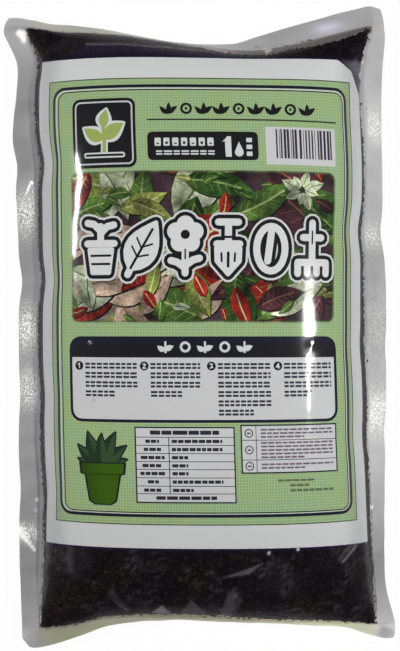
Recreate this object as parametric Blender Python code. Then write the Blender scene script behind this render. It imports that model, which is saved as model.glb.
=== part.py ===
"""A one litre potting soil pack: a sealed pouch of clear film, the soil in it, a printed sheet that
lies on the soil behind the front film, and the small net for a pot's base behind that sheet.

The pack lies on its back. +X is to the right and +Y to the top of the sheet, +Z is up out of its
front. The origin is on the floor, under the middle of the pouch.

Two webs of film meet in a heat seal all round. The soil lifts the front web off the seal as a
pillow and presses the back web flat on the floor, and the edges are drawn in by that. Everything is
laid out on one grid: lengthwise lines that run from the bottom seal to the top seal, and crosswise
lines from the left seal to the right. A piece takes the lines that it covers, so the sheet, the soil
and both webs lie on each other line by line.

Sizes are in millimetres, and are made metres where a mesh is filled.
"""

import bmesh
import bpy
import numpy as np
from mathutils import Vector
from mathutils.bvhtree import BVHTree

MM = 0.001

# Film and seals
FILM = 0.15  # thickness of one web
WELD_GAP = 0.3  # between the two webs in the seal
SEAL_WIDTH = 10.0  # of the heat seal, measured on the film
SEAL_HEIGHT = 14.0  # of the seal's inner line over the floor
FILL_HEIGHT = 36.0  # of the pack's crown over the floor

# The printed sheet and the film that is left round it
SHEET_WIDTH = 150.0
SHEET_LENGTH = 214.0
SHEET = 0.2  # thickness
SHEET_SIDE_MARGIN = 7.0  # from the sheet's long edge down the film to the side seal
SHEET_TOP_MARGIN = 15.0  # from the sheet's top edge to the upper corners of the fill
SHEET_BOTTOM_MARGIN = 40.0  # from the sheet's bottom edge to the lower corners of the fill
SHEET_CLIP_ACROSS = 13.0  # the sheet's upper right corner is turned away
SHEET_CLIP_DOWN = 15.0

# The net for the pot's base
NET_WIDTH = 90.0
NET_THREAD = 0.5
NET_GAPS = 9  # gaps along each side
NET_DOWN = 6.0  # the net's middle lies this far below the sheet's

# Clearances
REST_GAP = 0.3  # between pieces that lie on each other
NET_GAP = 0.5  # between the net's crossings and the soil
RECESS_REACH = 16.0  # the soil is pressed in this far past the net's edge

# How the filled pouch's edges run. Each pair is a station from -1 to 1 along the edge, and how many
# millimetres the seal's inner line stands outside (+) or inside (-) the straight line there.
LEFT_LINE = ((-1, -2.6), (-0.7, -3.3), (-0.1, -1.9), (0.4, -1.6), (0.8, -0.2), (0.91, -1.0), (1, 4.2))
RIGHT_LINE = ((-1, 5.0), (-0.75, 3.4), (-0.3, 1.0), (0.1, -0.3), (0.5, 0.5), (0.88, 0.2), (1, 2.4))
TOP_LINE = ((-1, 2.2), (-0.85, 0.3), (-0.55, -1.2), (0, -6.9), (0.31, -9.0), (0.6, -5.6), (0.85, -0.4), (1, 2.6))
BOTTOM_LINE = ((-1, 1.0), (-0.82, 0.1), (-0.55, -3.8), (-0.2, -4.6), (0.25, -3.4), (0.7, -2.4), (1, -1.5))

# How far the seal turns down towards the floor, in degrees from level, at stations along the edge
LEFT_TURN = ((-1, 34), (-0.7, 14), (-0.1, 27), (0.4, 22), (0.6, 8), (0.8, 32), (1, 20))
RIGHT_TURN = ((-1, 30), (-0.88, 54), (-0.7, 52), (-0.3, 32), (0.05, 18), (0.5, 41), (0.85, 38), (1, 46))
TOP_TURN = ((-1, 50), (-0.8, 57), (-0.45, 68), (-0.1, 70), (0.2, 56), (0.35, 36), (0.5, 20), (1, 15))
BOTTOM_TURN = ((-1, 20), (-0.65, 52), (-0.4, 63), (0.2, 68), (0.7, 62), (1, 32))

# Where the film is pinched in along the sides: place along Y, depth and half length
LEFT_DENTS = ((61.5, 1.8, 8.0), (9.5, 1.5, 8.0), (-42.0, 0.7, 9.0), (-85.0, 0.8, 9.0))
RIGHT_DENTS = ((31.7, 1.6, 8.5), (-20.0, 0.6, 8.0), (-60.0, 0.7, 9.0))
DENT_START = 0.72  # share of the half width at which a pinch begins to tell

CORNER_RADII = {"bottom_left": 5.0, "bottom_right": 1.5, "top_left": 6.0, "top_right": 2.5}
CORNER_STEPS = 4

# The pillow's section is 1 at the middle and 0 at the seal: (1 - place ** fullness) ** shoulder.
ACROSS_FULLNESS = 2.5
ACROSS_SHOULDER = 0.625
ALONG_FULLNESS = 4.5
ALONG_SHOULDER = 0.45
# The back lies flat on the floor up to this share of the half size, then curves up to the seal.
BACK_FLAT_ACROSS = 0.74
BACK_FLAT_ALONG = 0.84
BACK_ROUNDNESS = 2.2

# Grid lines: lengthwise ones as shares of the sheet's half width, crosswise ones by count under the sheet
SHEET_LINES = (0.22, 0.44, 0.62, 0.76, 0.87, 0.945, 1.0)
SHEET_ROWS = 28
# Beyond the sheet's ends, from 0 at the seal to 1 at the sheet
TOP_SHARES = (0.0, 0.2, 0.5, 1.0)
BOTTOM_SHARES = (0.0, 0.08, 0.2, 0.4, 0.7, 1.0)
SOIL_RIM = 2.2  # how far inside the seal's line the soil's blunt rim lies

# Straight lines that the edges are measured from, with the sheet's middle at Y 0
TOP_BASE = SHEET_LENGTH / 2 + SHEET_TOP_MARGIN
BOTTOM_BASE = -SHEET_LENGTH / 2 - SHEET_BOTTOM_MARGIN
MID_LENGTH = (TOP_BASE + BOTTOM_BASE) / 2
HALF_LENGTH = (TOP_BASE - BOTTOM_BASE) / 2
FIRST_SHEET_ROW = len(BOTTOM_SHARES)
FIRST_SHEET_COLUMN = 2


def clear_scene():
    """Removes whatever the file opened with."""
    for obj in list(bpy.data.objects):
        bpy.data.objects.remove(obj)


def smooth_curve(pairs, at):
    """The value at stations at of a cubic curve that passes through the pairs of station and value."""
    stations, values = np.array(pairs, float).T
    slopes = np.gradient(values, stations)
    at = np.clip(at, stations[0], stations[-1])
    k = np.clip(np.searchsorted(stations, at) - 1, 0, len(stations) - 2)
    step = stations[k + 1] - stations[k]
    u = (at - stations[k]) / step
    start = (1 + 2 * u) * (1 - u) ** 2 * values[k] + u * (1 - u) ** 2 * step * slopes[k]
    end = u * u * (3 - 2 * u) * values[k + 1] + u * u * (u - 1) * step * slopes[k + 1]
    return start + end


def pillow(place, fullness, shoulder):
    """The pillow's height as a share of its crown, at a place from -1 to 1 between two seals."""
    return (1 - np.minimum(np.abs(place), 1) ** fullness) ** shoulder


def back_shape(place, flat):
    """How far the back has reached down to the floor: 1 over the flat middle, 0 at the seal."""
    rise = np.clip((np.abs(place) - flat) / (1 - flat), 0, 1)
    return (1 - rise**BACK_ROUNDNESS) ** (1 / BACK_ROUNDNESS)


def filled_half_width():
    """Half the distance between the side seals once the soil has drawn the film in, and the place
    from 0 to 1 across it where the sheet's long edge lies. Both follow from lengths on the film."""
    flat_half = SHEET_WIDTH / 2 + SHEET_SIDE_MARGIN
    place = np.linspace(0, 1, 2001)
    rise = (FILL_HEIGHT - SEAL_HEIGHT) * pillow(place, ACROSS_FULLNESS, ACROSS_SHOULDER)
    half = flat_half
    for _ in range(30):
        steps = np.hypot(np.diff(place) * half, np.diff(rise))
        reached = np.concatenate([[0], np.cumsum(steps)])
        half *= flat_half / reached[-1]
    return half, float(np.interp(SHEET_WIDTH / 2, reached, place))


HALF_WIDTH, SHEET_EDGE = filled_half_width()


def along_station(y):
    """Y as a station from -1 at the lower corners of the fill to 1 at the upper ones."""
    return (y - MID_LENGTH) / HALF_LENGTH


def side_lines(y):
    """X of the left and right seal's inner lines at Y."""
    station = along_station(y)
    left = -HALF_WIDTH - smooth_curve(LEFT_LINE, station)
    right = HALF_WIDTH + smooth_curve(RIGHT_LINE, station)
    return left, right


def end_lines(x):
    """Y of the bottom and top seal's inner lines at X."""
    station = x / HALF_WIDTH
    bottom = BOTTOM_BASE - smooth_curve(BOTTOM_LINE, station)
    top = TOP_BASE + smooth_curve(TOP_LINE, station)
    return bottom, top


def turn_down(pairs, station):
    """Width in plan and drop of the turned seal at stations along an edge."""
    angle = np.radians(smooth_curve(pairs, station))
    return SEAL_WIDTH * np.cos(angle), SEAL_WIDTH * np.sin(angle)


class Grid:
    """Where every lengthwise line crosses every crosswise line, in plan, and the seal's drop there."""

    def __init__(self):
        inner = np.array([0.0, *SHEET_LINES]) * SHEET_EDGE
        half = np.append(inner, 1.0)
        self.across = np.concatenate([-half[:0:-1], half])
        columns = len(self.across) + 2
        rows = SHEET_ROWS + len(TOP_SHARES) + len(BOTTOM_SHARES) + 1
        x = np.zeros((columns, rows))
        y = np.tile(np.linspace(BOTTOM_BASE, TOP_BASE, rows), (columns, 1))
        for _ in range(12):
            x = self.lengthwise(y)
            y = self.crosswise(x)
        self.across_place, self.along_place = self.places(x, y)
        self.drop = self.seal_drop(x, y)
        self.x, self.y = x + self.dents(x, y), y

    def lengthwise(self, y):
        """X of each lengthwise line at its crossings' Y: the outline, the fill's lines, the outline."""
        left, right = side_lines(y)
        station = along_station(y)
        share = (1 + np.concatenate([[0], self.across, [0]])) / 2
        x = left + share[:, None] * (right - left)
        x[0] = left[0] - turn_down(LEFT_TURN, station[0])[0]
        x[-1] = right[-1] + turn_down(RIGHT_TURN, station[-1])[0]
        return x

    def crosswise(self, x):
        """Y of each crosswise line at its crossings' X: straight rows under the sheet, and rows
        that change over from the sheet's end to the seal's line beyond it."""
        bottom, top = end_lines(x)
        station = x / HALF_WIDTH
        low, high = -SHEET_LENGTH / 2, SHEET_LENGTH / 2
        y = np.empty_like(x)
        for row, share in enumerate(BOTTOM_SHARES, start=1):
            y[:, row] = bottom[:, row] * (1 - share) + low * share
        y[:, FIRST_SHEET_ROW : FIRST_SHEET_ROW + SHEET_ROWS + 1] = np.linspace(low, high, SHEET_ROWS + 1)
        for row, share in enumerate(TOP_SHARES, start=2):
            y[:, -row] = top[:, -row] * (1 - share) + high * share
        y[:, 0] = bottom[:, 0] - turn_down(BOTTOM_TURN, station[:, 0])[0]
        y[:, -1] = top[:, -1] + turn_down(TOP_TURN, station[:, -1])[0]
        return y

    def dents(self, x, y):
        """How far each crossing is pinched in towards the middle."""
        place = x / HALF_WIDTH
        grip = np.clip((np.abs(place) - DENT_START) / (1 - DENT_START), 0, 1)
        grip = grip * grip * (3 - 2 * grip)
        push = np.zeros_like(x)
        for centre, depth, reach in LEFT_DENTS:
            push += (place < 0) * depth * np.exp(-(((y - centre) / reach) ** 2))
        for centre, depth, reach in RIGHT_DENTS:
            push -= (place > 0) * depth * np.exp(-(((y - centre) / reach) ** 2))
        return push * grip

    def seal_drop(self, x, y):
        """How far each crossing of the outline lies below the seal's inner line."""
        drop = np.zeros_like(x)
        station_y, station_x = along_station(y), x / HALF_WIDTH
        drop[0] += turn_down(LEFT_TURN, station_y[0])[1]
        drop[-1] += turn_down(RIGHT_TURN, station_y[-1])[1]
        drop[:, 0] += turn_down(BOTTOM_TURN, station_x[:, 0])[1]
        drop[:, -1] += turn_down(TOP_TURN, station_x[:, -1])[1]
        corners = np.zeros_like(x, bool)
        corners[[0, 0, -1, -1], [0, -1, 0, -1]] = True
        return np.where(corners, drop / 2, drop)

    def places(self, x, y):
        """Each crossing's place from -1 to 1 across and along the fill."""
        left, right = side_lines(y)
        bottom, top = end_lines(x)
        across = (2 * x - left - right) / (right - left)
        along = (2 * y - bottom - top) / (top - bottom)
        inside = np.zeros_like(x, bool)
        inside[2:-2, 2:-2] = True
        return np.where(inside, across, 1.0), np.where(inside, along, 1.0)

    def front(self):
        """The front web's points: the pillow over the seal's inner line, and the turned seal."""
        rise = pillow(self.across_place, ACROSS_FULLNESS, ACROSS_SHOULDER)
        rise *= pillow(self.along_place, ALONG_FULLNESS, ALONG_SHOULDER)
        z = SEAL_HEIGHT + (FILL_HEIGHT - SEAL_HEIGHT) * rise - self.drop
        return np.stack([self.x, self.y, z], axis=-1)

    def back(self):
        """The back web's points: flat on the floor, curved up to the seal's inner line."""
        sink = back_shape(self.across_place, BACK_FLAT_ACROSS)
        sink *= back_shape(self.along_place, BACK_FLAT_ALONG)
        lowest = FILM + WELD_GAP / 2
        z = SEAL_HEIGHT - (SEAL_HEIGHT - lowest) * sink - self.drop
        return np.stack([self.x, self.y, z], axis=-1)


def lifted(points, distance):
    """A grid of points moved off its own upper side, so that each cell moves by the distance or more."""
    diagonal = points[1:, 1:] - points[:-1, :-1]
    other = points[:-1, 1:] - points[1:, :-1]
    cells = np.cross(diagonal, other)
    cells /= np.linalg.norm(cells, axis=-1, keepdims=True)
    padded = np.pad(cells, ((1, 1), (1, 1), (0, 0)), mode="edge")
    around = np.stack([padded[:-1, :-1], padded[1:, :-1], padded[:-1, 1:], padded[1:, 1:]])
    mean = around.mean(axis=0)
    mean /= np.linalg.norm(mean, axis=-1, keepdims=True)
    tilt = (around * mean).sum(axis=-1).min(axis=0)
    return points + distance * (mean / tilt[..., None])


def rim_inwards(points, distance):
    """The fill's own crossings, with the outermost ones moved towards their inner neighbours."""
    moved = points[1:-1, 1:-1].copy()
    for rim, inner in ((np.s_[0], np.s_[1]), (np.s_[-1], np.s_[-2])):
        for place in (np.s_[rim, :], np.s_[:, rim]):
            step = moved[np.s_[inner, :] if place[0] == rim else np.s_[:, inner]] - moved[place]
            moved[place] += distance * step / np.linalg.norm(step, axis=-1, keepdims=True)
    return moved


def add_sheet(bm, points):
    """Four-sided cells between a grid of points."""
    verts = [[bm.verts.new(Vector(p) * MM) for p in column] for column in points]
    for a, b in zip(verts, verts[1:]):
        for k in range(len(a) - 1):
            bm.faces.new((a[k], b[k], b[k + 1], a[k + 1]))
    return verts


def split_cells(bm):
    """Splits each cell along the diagonal that points to the pouch's middle, alike in every piece, so
    that pieces which follow each other stay apart where a cell is twisted."""
    for face in [f for f in bm.faces if len(f.verts) == 4]:
        middle = face.calc_center_median()
        first = 0 if middle.x * middle.y > 0 else 1
        bmesh.utils.face_split(face, face.verts[first], face.verts[first + 2])


def round_corners(bm, verts):
    """Rounds the four corners of a web's sheet."""
    corners = {
        "bottom_left": verts[0][0],
        "bottom_right": verts[-1][0],
        "top_left": verts[0][-1],
        "top_right": verts[-1][-1],
    }
    for name, vert in corners.items():
        bmesh.ops.bevel(
            bm,
            geom=[vert],
            offset=CORNER_RADII[name] * MM,
            offset_type="OFFSET",
            segments=CORNER_STEPS,
            profile=0.5,
            affect="VERTICES",
        )


def make_object(name, bm, material):
    """Turns a bmesh into a named, smooth shaded object."""
    bmesh.ops.recalc_face_normals(bm, faces=bm.faces)
    mesh = bpy.data.meshes.new(name)
    bm.to_mesh(mesh)
    bm.free()
    mesh.shade_smooth()
    mesh.materials.append(material)
    obj = bpy.data.objects.new(name, mesh)
    bpy.context.scene.collection.objects.link(obj)
    return obj


def give_thickness(obj, thickness):
    """Thickens a sheet by half its thickness to each side."""
    modifier = obj.modifiers.new("Thickness", "SOLIDIFY")
    modifier.thickness = thickness * MM
    modifier.offset = 0.0


def make_material(name, colour, roughness, alpha=1.0):
    """A plain Principled material."""
    material = bpy.data.materials.new(name)
    material.use_nodes = True
    shader = material.node_tree.nodes["Principled BSDF"]
    shader.inputs["Base Color"].default_value = (*colour, 1.0)
    shader.inputs["Roughness"].default_value = roughness
    shader.inputs["Alpha"].default_value = alpha
    return material


def make_web(name, points, material):
    """One web of film, from outline to outline."""
    bm = bmesh.new()
    verts = add_sheet(bm, points)
    round_corners(bm, verts)
    split_cells(bm)
    bmesh.ops.triangulate(bm, faces=bm.faces)
    obj = make_object(name, bm, material)
    give_thickness(obj, FILM)
    return obj


def make_soil(top, bottom, material):
    """The soil: all that lies between the two webs, with a blunt rim inside the seal."""
    bm = bmesh.new()
    add_sheet(bm, top)
    add_sheet(bm, bottom)
    bmesh.ops.bridge_loops(bm, edges=[e for e in bm.edges if e.is_boundary])
    split_cells(bm)
    return make_object("potting_soil", bm, material)


def make_label_sheet(points, material):
    """The printed sheet, with its upper right corner turned away."""
    bm = bmesh.new()
    add_sheet(bm, points)
    split_cells(bm)
    rows = np.linspace(-SHEET_LENGTH / 2, SHEET_LENGTH / 2, SHEET_ROWS + 1)
    right_edge = points[-1]
    height = SHEET_LENGTH / 2 - SHEET_CLIP_DOWN
    low = np.array([np.interp(height, rows, right_edge[:, k]) for k in range(3)])
    top_edge = points[:, -1]
    run = np.concatenate([[0], np.cumsum(np.linalg.norm(np.diff(top_edge, axis=0), axis=1))])
    high = np.array([np.interp(run[-1] - SHEET_CLIP_ACROSS, run, top_edge[:, k]) for k in range(3)])
    cut = Vector(low - high)
    bmesh.ops.bisect_plane(
        bm,
        geom=bm.verts[:] + bm.edges[:] + bm.faces[:],
        plane_co=Vector(low) * MM,
        plane_no=cut.cross(Vector((0, 0, -1))),
        clear_outer=True,
    )
    obj = make_object("label_sheet", bm, material)
    give_thickness(obj, SHEET)
    return obj


def make_net(soil, centre, material):
    """A square net of crossed threads that rests on the soil."""
    ground = BVHTree.FromObject(soil, bpy.context.evaluated_depsgraph_get())
    above = Vector((0, 0, 2 * FILL_HEIGHT * MM))
    ticks = np.linspace(-NET_WIDTH / 2, NET_WIDTH / 2, NET_GAPS + 1)
    bm = bmesh.new()
    points = np.zeros((len(ticks), len(ticks), 3))
    for i, x in enumerate(ticks + centre[0]):
        for j, y in enumerate(ticks + centre[1]):
            hit = ground.ray_cast(Vector((x, y, 0)) * MM + above, Vector((0, 0, -1)))[0]
            points[i, j] = (x, y, hit.z / MM + NET_GAP + NET_THREAD / 2)
    add_sheet(bm, points)
    net = make_object("pot_net", bm, material)
    threads = net.modifiers.new("Threads", "WIREFRAME")
    threads.thickness = NET_THREAD * MM
    threads.use_even_offset = False
    threads.use_boundary = True


def main():
    clear_scene()
    film = make_material("clear_film", (0.80, 0.80, 0.79), 0.12, 0.3)
    paper = make_material("printed_sheet", (0.36, 0.52, 0.28), 0.45)
    soil = make_material("potting_soil", (0.018, 0.012, 0.010), 0.95)
    thread = make_material("net_thread", (0.75, 0.76, 0.74), 0.6)

    grid = Grid()
    half_seal = (FILM + WELD_GAP) / 2
    front_line, back_line = grid.front(), grid.back()
    front_web = lifted(front_line, half_seal)
    back_web = lifted(back_line, -half_seal)

    middle = [(front_web[..., k].min() + front_web[..., k].max()) / 2 for k in range(2)]
    floor = back_web[..., 2].min() - FILM / 2
    shift = np.array([middle[0], middle[1], floor])

    def placed(points):
        return points - shift

    under_film = FILM / 2 + REST_GAP
    sheet_depth = under_film + SHEET / 2
    soil_depth = under_film + SHEET + REST_GAP
    recess = NET_THREAD + NET_GAP

    make_web("front_film", placed(front_web), film)
    make_web("back_film", placed(back_web), film)

    covered = np.s_[
        FIRST_SHEET_COLUMN:-FIRST_SHEET_COLUMN,
        FIRST_SHEET_ROW : FIRST_SHEET_ROW + SHEET_ROWS + 1,
    ]
    make_label_sheet(placed(lifted(front_web, -sheet_depth)[covered]), paper)

    reach = NET_WIDTH / 2 + RECESS_REACH
    pressed = (np.abs(grid.x) < reach) & (np.abs(grid.y + NET_DOWN) < reach)
    depth = soil_depth + recess * pressed
    soil_top = lifted(front_web, -depth[..., None])
    soil_bottom = lifted(back_web, under_film)
    fill = make_soil(placed(rim_inwards(soil_top, SOIL_RIM)), placed(rim_inwards(soil_bottom, SOIL_RIM)), soil)
    make_net(fill, placed(np.array([0.0, -NET_DOWN, 0.0])), thread)


main()
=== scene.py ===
# %% [markdown]
# # A small pack of potting soil
#
# The object is a pouch of clear film. It is sealed flat on all four sides and filled with dark, moist
# potting soil. A printed paper sheet lies between the soil and the front film. The pack lies on its
# back, and the camera looks straight down on it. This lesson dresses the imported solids: the film gets
# its gloss and its creases, the sheet its print, and the soil its crumbs.

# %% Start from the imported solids
import math
import bpy
import numpy as np
from mathutils import Matrix, Vector
from mathutils.geometry import delaunay_2d_cdt


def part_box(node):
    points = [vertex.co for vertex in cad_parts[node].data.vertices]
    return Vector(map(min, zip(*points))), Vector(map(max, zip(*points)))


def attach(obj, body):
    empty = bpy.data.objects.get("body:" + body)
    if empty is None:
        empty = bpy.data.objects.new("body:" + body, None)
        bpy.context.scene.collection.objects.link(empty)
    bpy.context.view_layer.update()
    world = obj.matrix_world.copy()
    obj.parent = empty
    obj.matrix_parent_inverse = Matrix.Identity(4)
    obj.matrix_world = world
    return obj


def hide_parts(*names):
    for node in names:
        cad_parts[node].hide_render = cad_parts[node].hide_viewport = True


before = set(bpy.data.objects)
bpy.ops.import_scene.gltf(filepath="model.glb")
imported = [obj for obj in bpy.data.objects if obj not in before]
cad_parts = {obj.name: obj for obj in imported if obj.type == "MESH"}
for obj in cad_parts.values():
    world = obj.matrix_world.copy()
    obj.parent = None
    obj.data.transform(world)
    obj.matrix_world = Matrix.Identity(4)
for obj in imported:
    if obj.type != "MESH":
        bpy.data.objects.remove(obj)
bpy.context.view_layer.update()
MM = 0.001

# %% [markdown]
# ## The pouch's own surface
#
# Film, sheet and soil all follow one curved surface, so that surface is written once, as a formula in
# millimetres. The four seal lines are smooth curves, since soil pulls a film's edges in and out. Between
# them the height follows a pillow: 1 at the middle, 0 at the seal, steep close to it. Every
# piece below asks this formula for its places, so the pieces stay the same small distance apart.

# %% The pouch's measures
SEAL_WIDTH, SEAL_HEIGHT, FILL_HEIGHT = 10.0, 14.0, 36.0
SHEET_WIDTH, SHEET_LENGTH = 150.0, 214.0
SIDE_MARGIN, TOP_MARGIN, BOTTOM_MARGIN = 7.0, 15.0, 40.0
ACROSS_PILLOW, ALONG_PILLOW = (2.5, 0.625), (4.5, 0.45)
BACK_FLAT_ACROSS, BACK_FLAT_ALONG, BACK_ROUNDNESS = 0.74, 0.84, 2.2
# how far each seal's inner line bulges out, in millimetres, at stations from -1 to 1 along it
LEFT_LINE = ((-1, -2.6), (-0.7, -3.3), (-0.1, -1.9), (0.4, -1.6), (0.8, -0.2), (0.91, -1.0), (1, 4.2))
RIGHT_LINE = ((-1, 5.0), (-0.75, 3.4), (-0.3, 1.0), (0.1, -0.3), (0.5, 0.5), (0.88, 0.2), (1, 2.4))
TOP_LINE = (
    (-1, 2.2), (-0.85, 0.3), (-0.55, -1.2), (0, -6.9), (0.31, -9.0), (0.6, -5.6), (0.85, -0.4), (1, 2.6),
)
BOTTOM_LINE = ((-1, 1.0), (-0.82, 0.1), (-0.55, -3.8), (-0.2, -4.6), (0.25, -3.4), (0.7, -2.4), (1, -1.5))
# how far the seal hangs, in degrees, at stations along each side
LEFT_TURN = (
    (-1, 34), (-0.7, 14), (-0.1, 27), (0.4, 22), (0.6, 8), (0.8, 32), (1, 20), (1.03, 22), (1.08, 46),
)
RIGHT_TURN = (
    (-1, 30), (-0.88, 54), (-0.7, 52), (-0.3, 32), (0.05, 18), (0.5, 41), (0.85, 38), (1, 46), (1.08, 56),
)
TOP_TURN = (
    (-1.1, 52), (-0.95, 60), (-0.8, 57), (-0.45, 68), (-0.1, 70), (0.2, 56), (0.35, 36), (0.5, 20), (1, 15),
)
BOTTOM_TURN = ((-1, 20), (-0.65, 52), (-0.4, 63), (0.2, 68), (0.7, 66), (0.9, 64), (1.0, 52), (1.12, 36))
# dents of the side seals: place along the side, depth, reach
LEFT_DENTS = ((61.5, 1.8, 8.0), (9.5, 1.5, 8.0), (-42.0, 0.7, 9.0), (-85.0, 0.8, 9.0))
RIGHT_DENTS = ((31.7, 1.6, 8.5), (-20.0, 0.6, 8.0), (-60.0, 0.7, 9.0))
DENT_START = 0.72
TOP_BASE = SHEET_LENGTH / 2 + TOP_MARGIN
BOTTOM_BASE = -SHEET_LENGTH / 2 - BOTTOM_MARGIN
MIDDLE, HALF_LENGTH = (TOP_BASE + BOTTOM_BASE) / 2, (TOP_BASE - BOTTOM_BASE) / 2


# %% The formula for one point of the front film
def smooth_curve(pairs, at):
    """A cubic curve through the pairs of station and value: each piece blends two values and slopes."""
    stations, values = np.array(pairs, float).T
    slopes = np.gradient(values, stations)
    at = np.clip(at, stations[0], stations[-1])
    k = np.clip(np.searchsorted(stations, at) - 1, 0, len(stations) - 2)
    step = stations[k + 1] - stations[k]
    u = (at - stations[k]) / step
    start = (1 + 2 * u) * (1 - u) ** 2 * values[k] + u * (1 - u) ** 2 * step * slopes[k]
    end = u * u * (3 - 2 * u) * values[k + 1] + u * u * (u - 1) * step * slopes[k + 1]
    return start + end


def pillow(place, fullness, shoulder):
    """Height from 0 to 1: one less the place to the power fullness, all to the power shoulder."""
    return (1 - np.minimum(np.abs(place), 1) ** fullness) ** shoulder


def waves(x, y, longest, shortest, seed, count=26):
    """Even noise near -1 to 1: the mean of plane waves with random ways, lengths and phases."""
    own = np.random.default_rng(seed)
    way = own.uniform(0, 2 * np.pi, count)
    pace = 2 * np.pi / np.exp(own.uniform(np.log(shortest), np.log(longest), count))
    phase = own.uniform(0, 2 * np.pi, count)
    total = np.zeros(np.broadcast(x, y).shape)
    for k in range(count):
        total += np.cos(pace[k] * (np.cos(way[k]) * x + np.sin(way[k]) * y) + phase[k])
    return total / np.sqrt(count / 2) / 1.6


def smooth_step(a, b, value):
    """0 below a, 1 above b, and an S shaped curve between them."""
    t = np.clip((value - a) / (b - a), 0, 1)
    return t * t * (3 - 2 * t)


flat_half = SHEET_WIDTH / 2 + SIDE_MARGIN
place = np.linspace(0, 1, 2001)
rise = (FILL_HEIGHT - SEAL_HEIGHT) * pillow(place, *ACROSS_PILLOW)
HALF_WIDTH = flat_half
for _ in range(30):
    steps = np.hypot(np.diff(place) * HALF_WIDTH, np.diff(rise))
    on_film = np.concatenate([[0], np.cumsum(steps)])
    HALF_WIDTH *= flat_half / on_film[-1]
SHEET_SHARE = float(np.interp(SHEET_WIDTH / 2, on_film, place))


def side_lines(y):
    """X of the left and right seal's inner lines at Y."""
    station = (y - MIDDLE) / HALF_LENGTH
    left = -HALF_WIDTH - smooth_curve(LEFT_LINE, station)
    return left, HALF_WIDTH + smooth_curve(RIGHT_LINE, station)


def end_lines(x):
    """Y of the bottom and top seal's inner lines at X."""
    station = x / HALF_WIDTH
    bottom = BOTTOM_BASE - smooth_curve(BOTTOM_LINE, station)
    return bottom, TOP_BASE + smooth_curve(TOP_LINE, station)


def dents(x, y):
    """How far a side is pinched in: bell curves along it, that fade out towards the middle."""
    grip = smooth_step(DENT_START, 1, np.abs(x / HALF_WIDTH))
    push = np.zeros_like(x)
    for centre, depth, reach in LEFT_DENTS:
        push += (x < 0) * depth * np.exp(-(((y - centre) / reach) ** 2))
    for centre, depth, reach in RIGHT_DENTS:
        push -= (x > 0) * depth * np.exp(-(((y - centre) / reach) ** 2))
    return push * grip


def places(x, y):
    """The place from -1 to 1 across and along the fill."""
    left, right = side_lines(y)
    bottom, top = end_lines(x)
    return (2 * x - left - right) / (right - left), (2 * y - bottom - top) / (top - bottom)


def front_point(x, y):
    """A point of the front film over plan place x, y: seal height plus two pillows multiplied."""
    across, along = places(x, y)
    lift = pillow(across, *ACROSS_PILLOW) * pillow(along, *ALONG_PILLOW)
    z = SEAL_HEIGHT + (FILL_HEIGHT - SEAL_HEIGHT) * lift
    return np.stack([x + dents(x, y), y, z], axis=-1)


print("half width once filled", round(HALF_WIDTH, 2), "mm")


# %% [markdown]
# ## From plan to pouch
#
# A web is a grid with two parameters. From -1 to 1 they run between the seals' inner lines. Beyond 1
# they cross the heat seal, which hangs down a little from the fill, more in some places than in others.

# %% Two parameters for a whole web
def seal_fall(pairs, station):
    """Width in plan and drop of the hanging seal: its cosine and sine times the seal's width."""
    angle = np.radians(smooth_curve(pairs, station))
    return SEAL_WIDTH * np.cos(angle), SEAL_WIDTH * np.sin(angle)


def web_plan(u, v):
    """X, Y and drop at parameters u across and v along, found by going round between the seal lines."""
    inner_u, inner_v = np.clip(u, -1, 1), np.clip(v, -1, 1)
    out_u, out_v = np.clip(np.abs(u) - 1, 0, 1), np.clip(np.abs(v) - 1, 0, 1)
    x, y = HALF_WIDTH * inner_u, MIDDLE + HALF_LENGTH * inner_v
    for _ in range(12):
        station_y, station_x = (y - MIDDLE) / HALF_LENGTH, x / HALF_WIDTH
        (left, right), (bottom, top) = side_lines(y), end_lines(x)
        wide_l, fall_l = seal_fall(LEFT_TURN, station_y)
        wide_r, fall_r = seal_fall(RIGHT_TURN, station_y)
        wide_b, fall_b = seal_fall(BOTTOM_TURN, station_x)
        wide_t, fall_t = seal_fall(TOP_TURN, station_x)
        x = left + (1 + inner_u) / 2 * (right - left) + out_u * np.where(u < 0, -wide_l, wide_r)
        y = bottom + (1 + inner_v) / 2 * (top - bottom) + out_v * np.where(v < 0, -wide_b, wide_t)
    tip = np.where(v < 0, np.where(u < 0, 0.26, 0.05), np.where(u < 0, 0.02, 0.08)) * (out_u * out_v) ** 4
    x, y = x - tip * SEAL_WIDTH * np.sign(u), y - tip * SEAL_WIDTH * np.sign(v)
    fall_u, fall_v = np.where(u < 0, fall_l, fall_r), np.where(v < 0, fall_b, fall_t)
    drop = (fall_u * out_u + fall_v * out_v) / (1 + out_u * out_v)
    return x, y, drop


def within_seals(u, v):
    """True inside the inner lines of all four seals."""
    return np.maximum(np.abs(u), np.abs(v)) < 1


def front_web(u, v):
    """The front web's middle surface."""
    x, y, drop = web_plan(u, v)
    points = front_point(x, y)
    points[..., 2] = np.where(within_seals(u, v), points[..., 2], SEAL_HEIGHT) - drop
    return points


def back_shape(place, flat):
    """1 over the flat middle, and a rounded fall to 0 at the seal."""
    fall = np.clip((np.abs(place) - flat) / (1 - flat), 0, 1)
    return (1 - fall**BACK_ROUNDNESS) ** (1 / BACK_ROUNDNESS)


def back_web(u, v, lowest=0.3):
    """The back web: flat on the floor, rounded up to the seal."""
    x, y, drop = web_plan(u, v)
    across, along = places(x, y)
    sink = back_shape(across, BACK_FLAT_ACROSS) * back_shape(along, BACK_FLAT_ALONG)
    z = SEAL_HEIGHT - (SEAL_HEIGHT - lowest) * np.where(within_seals(u, v), sink, 0) - drop
    return np.stack([x + dents(x, y), y, z], axis=-1)


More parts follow.
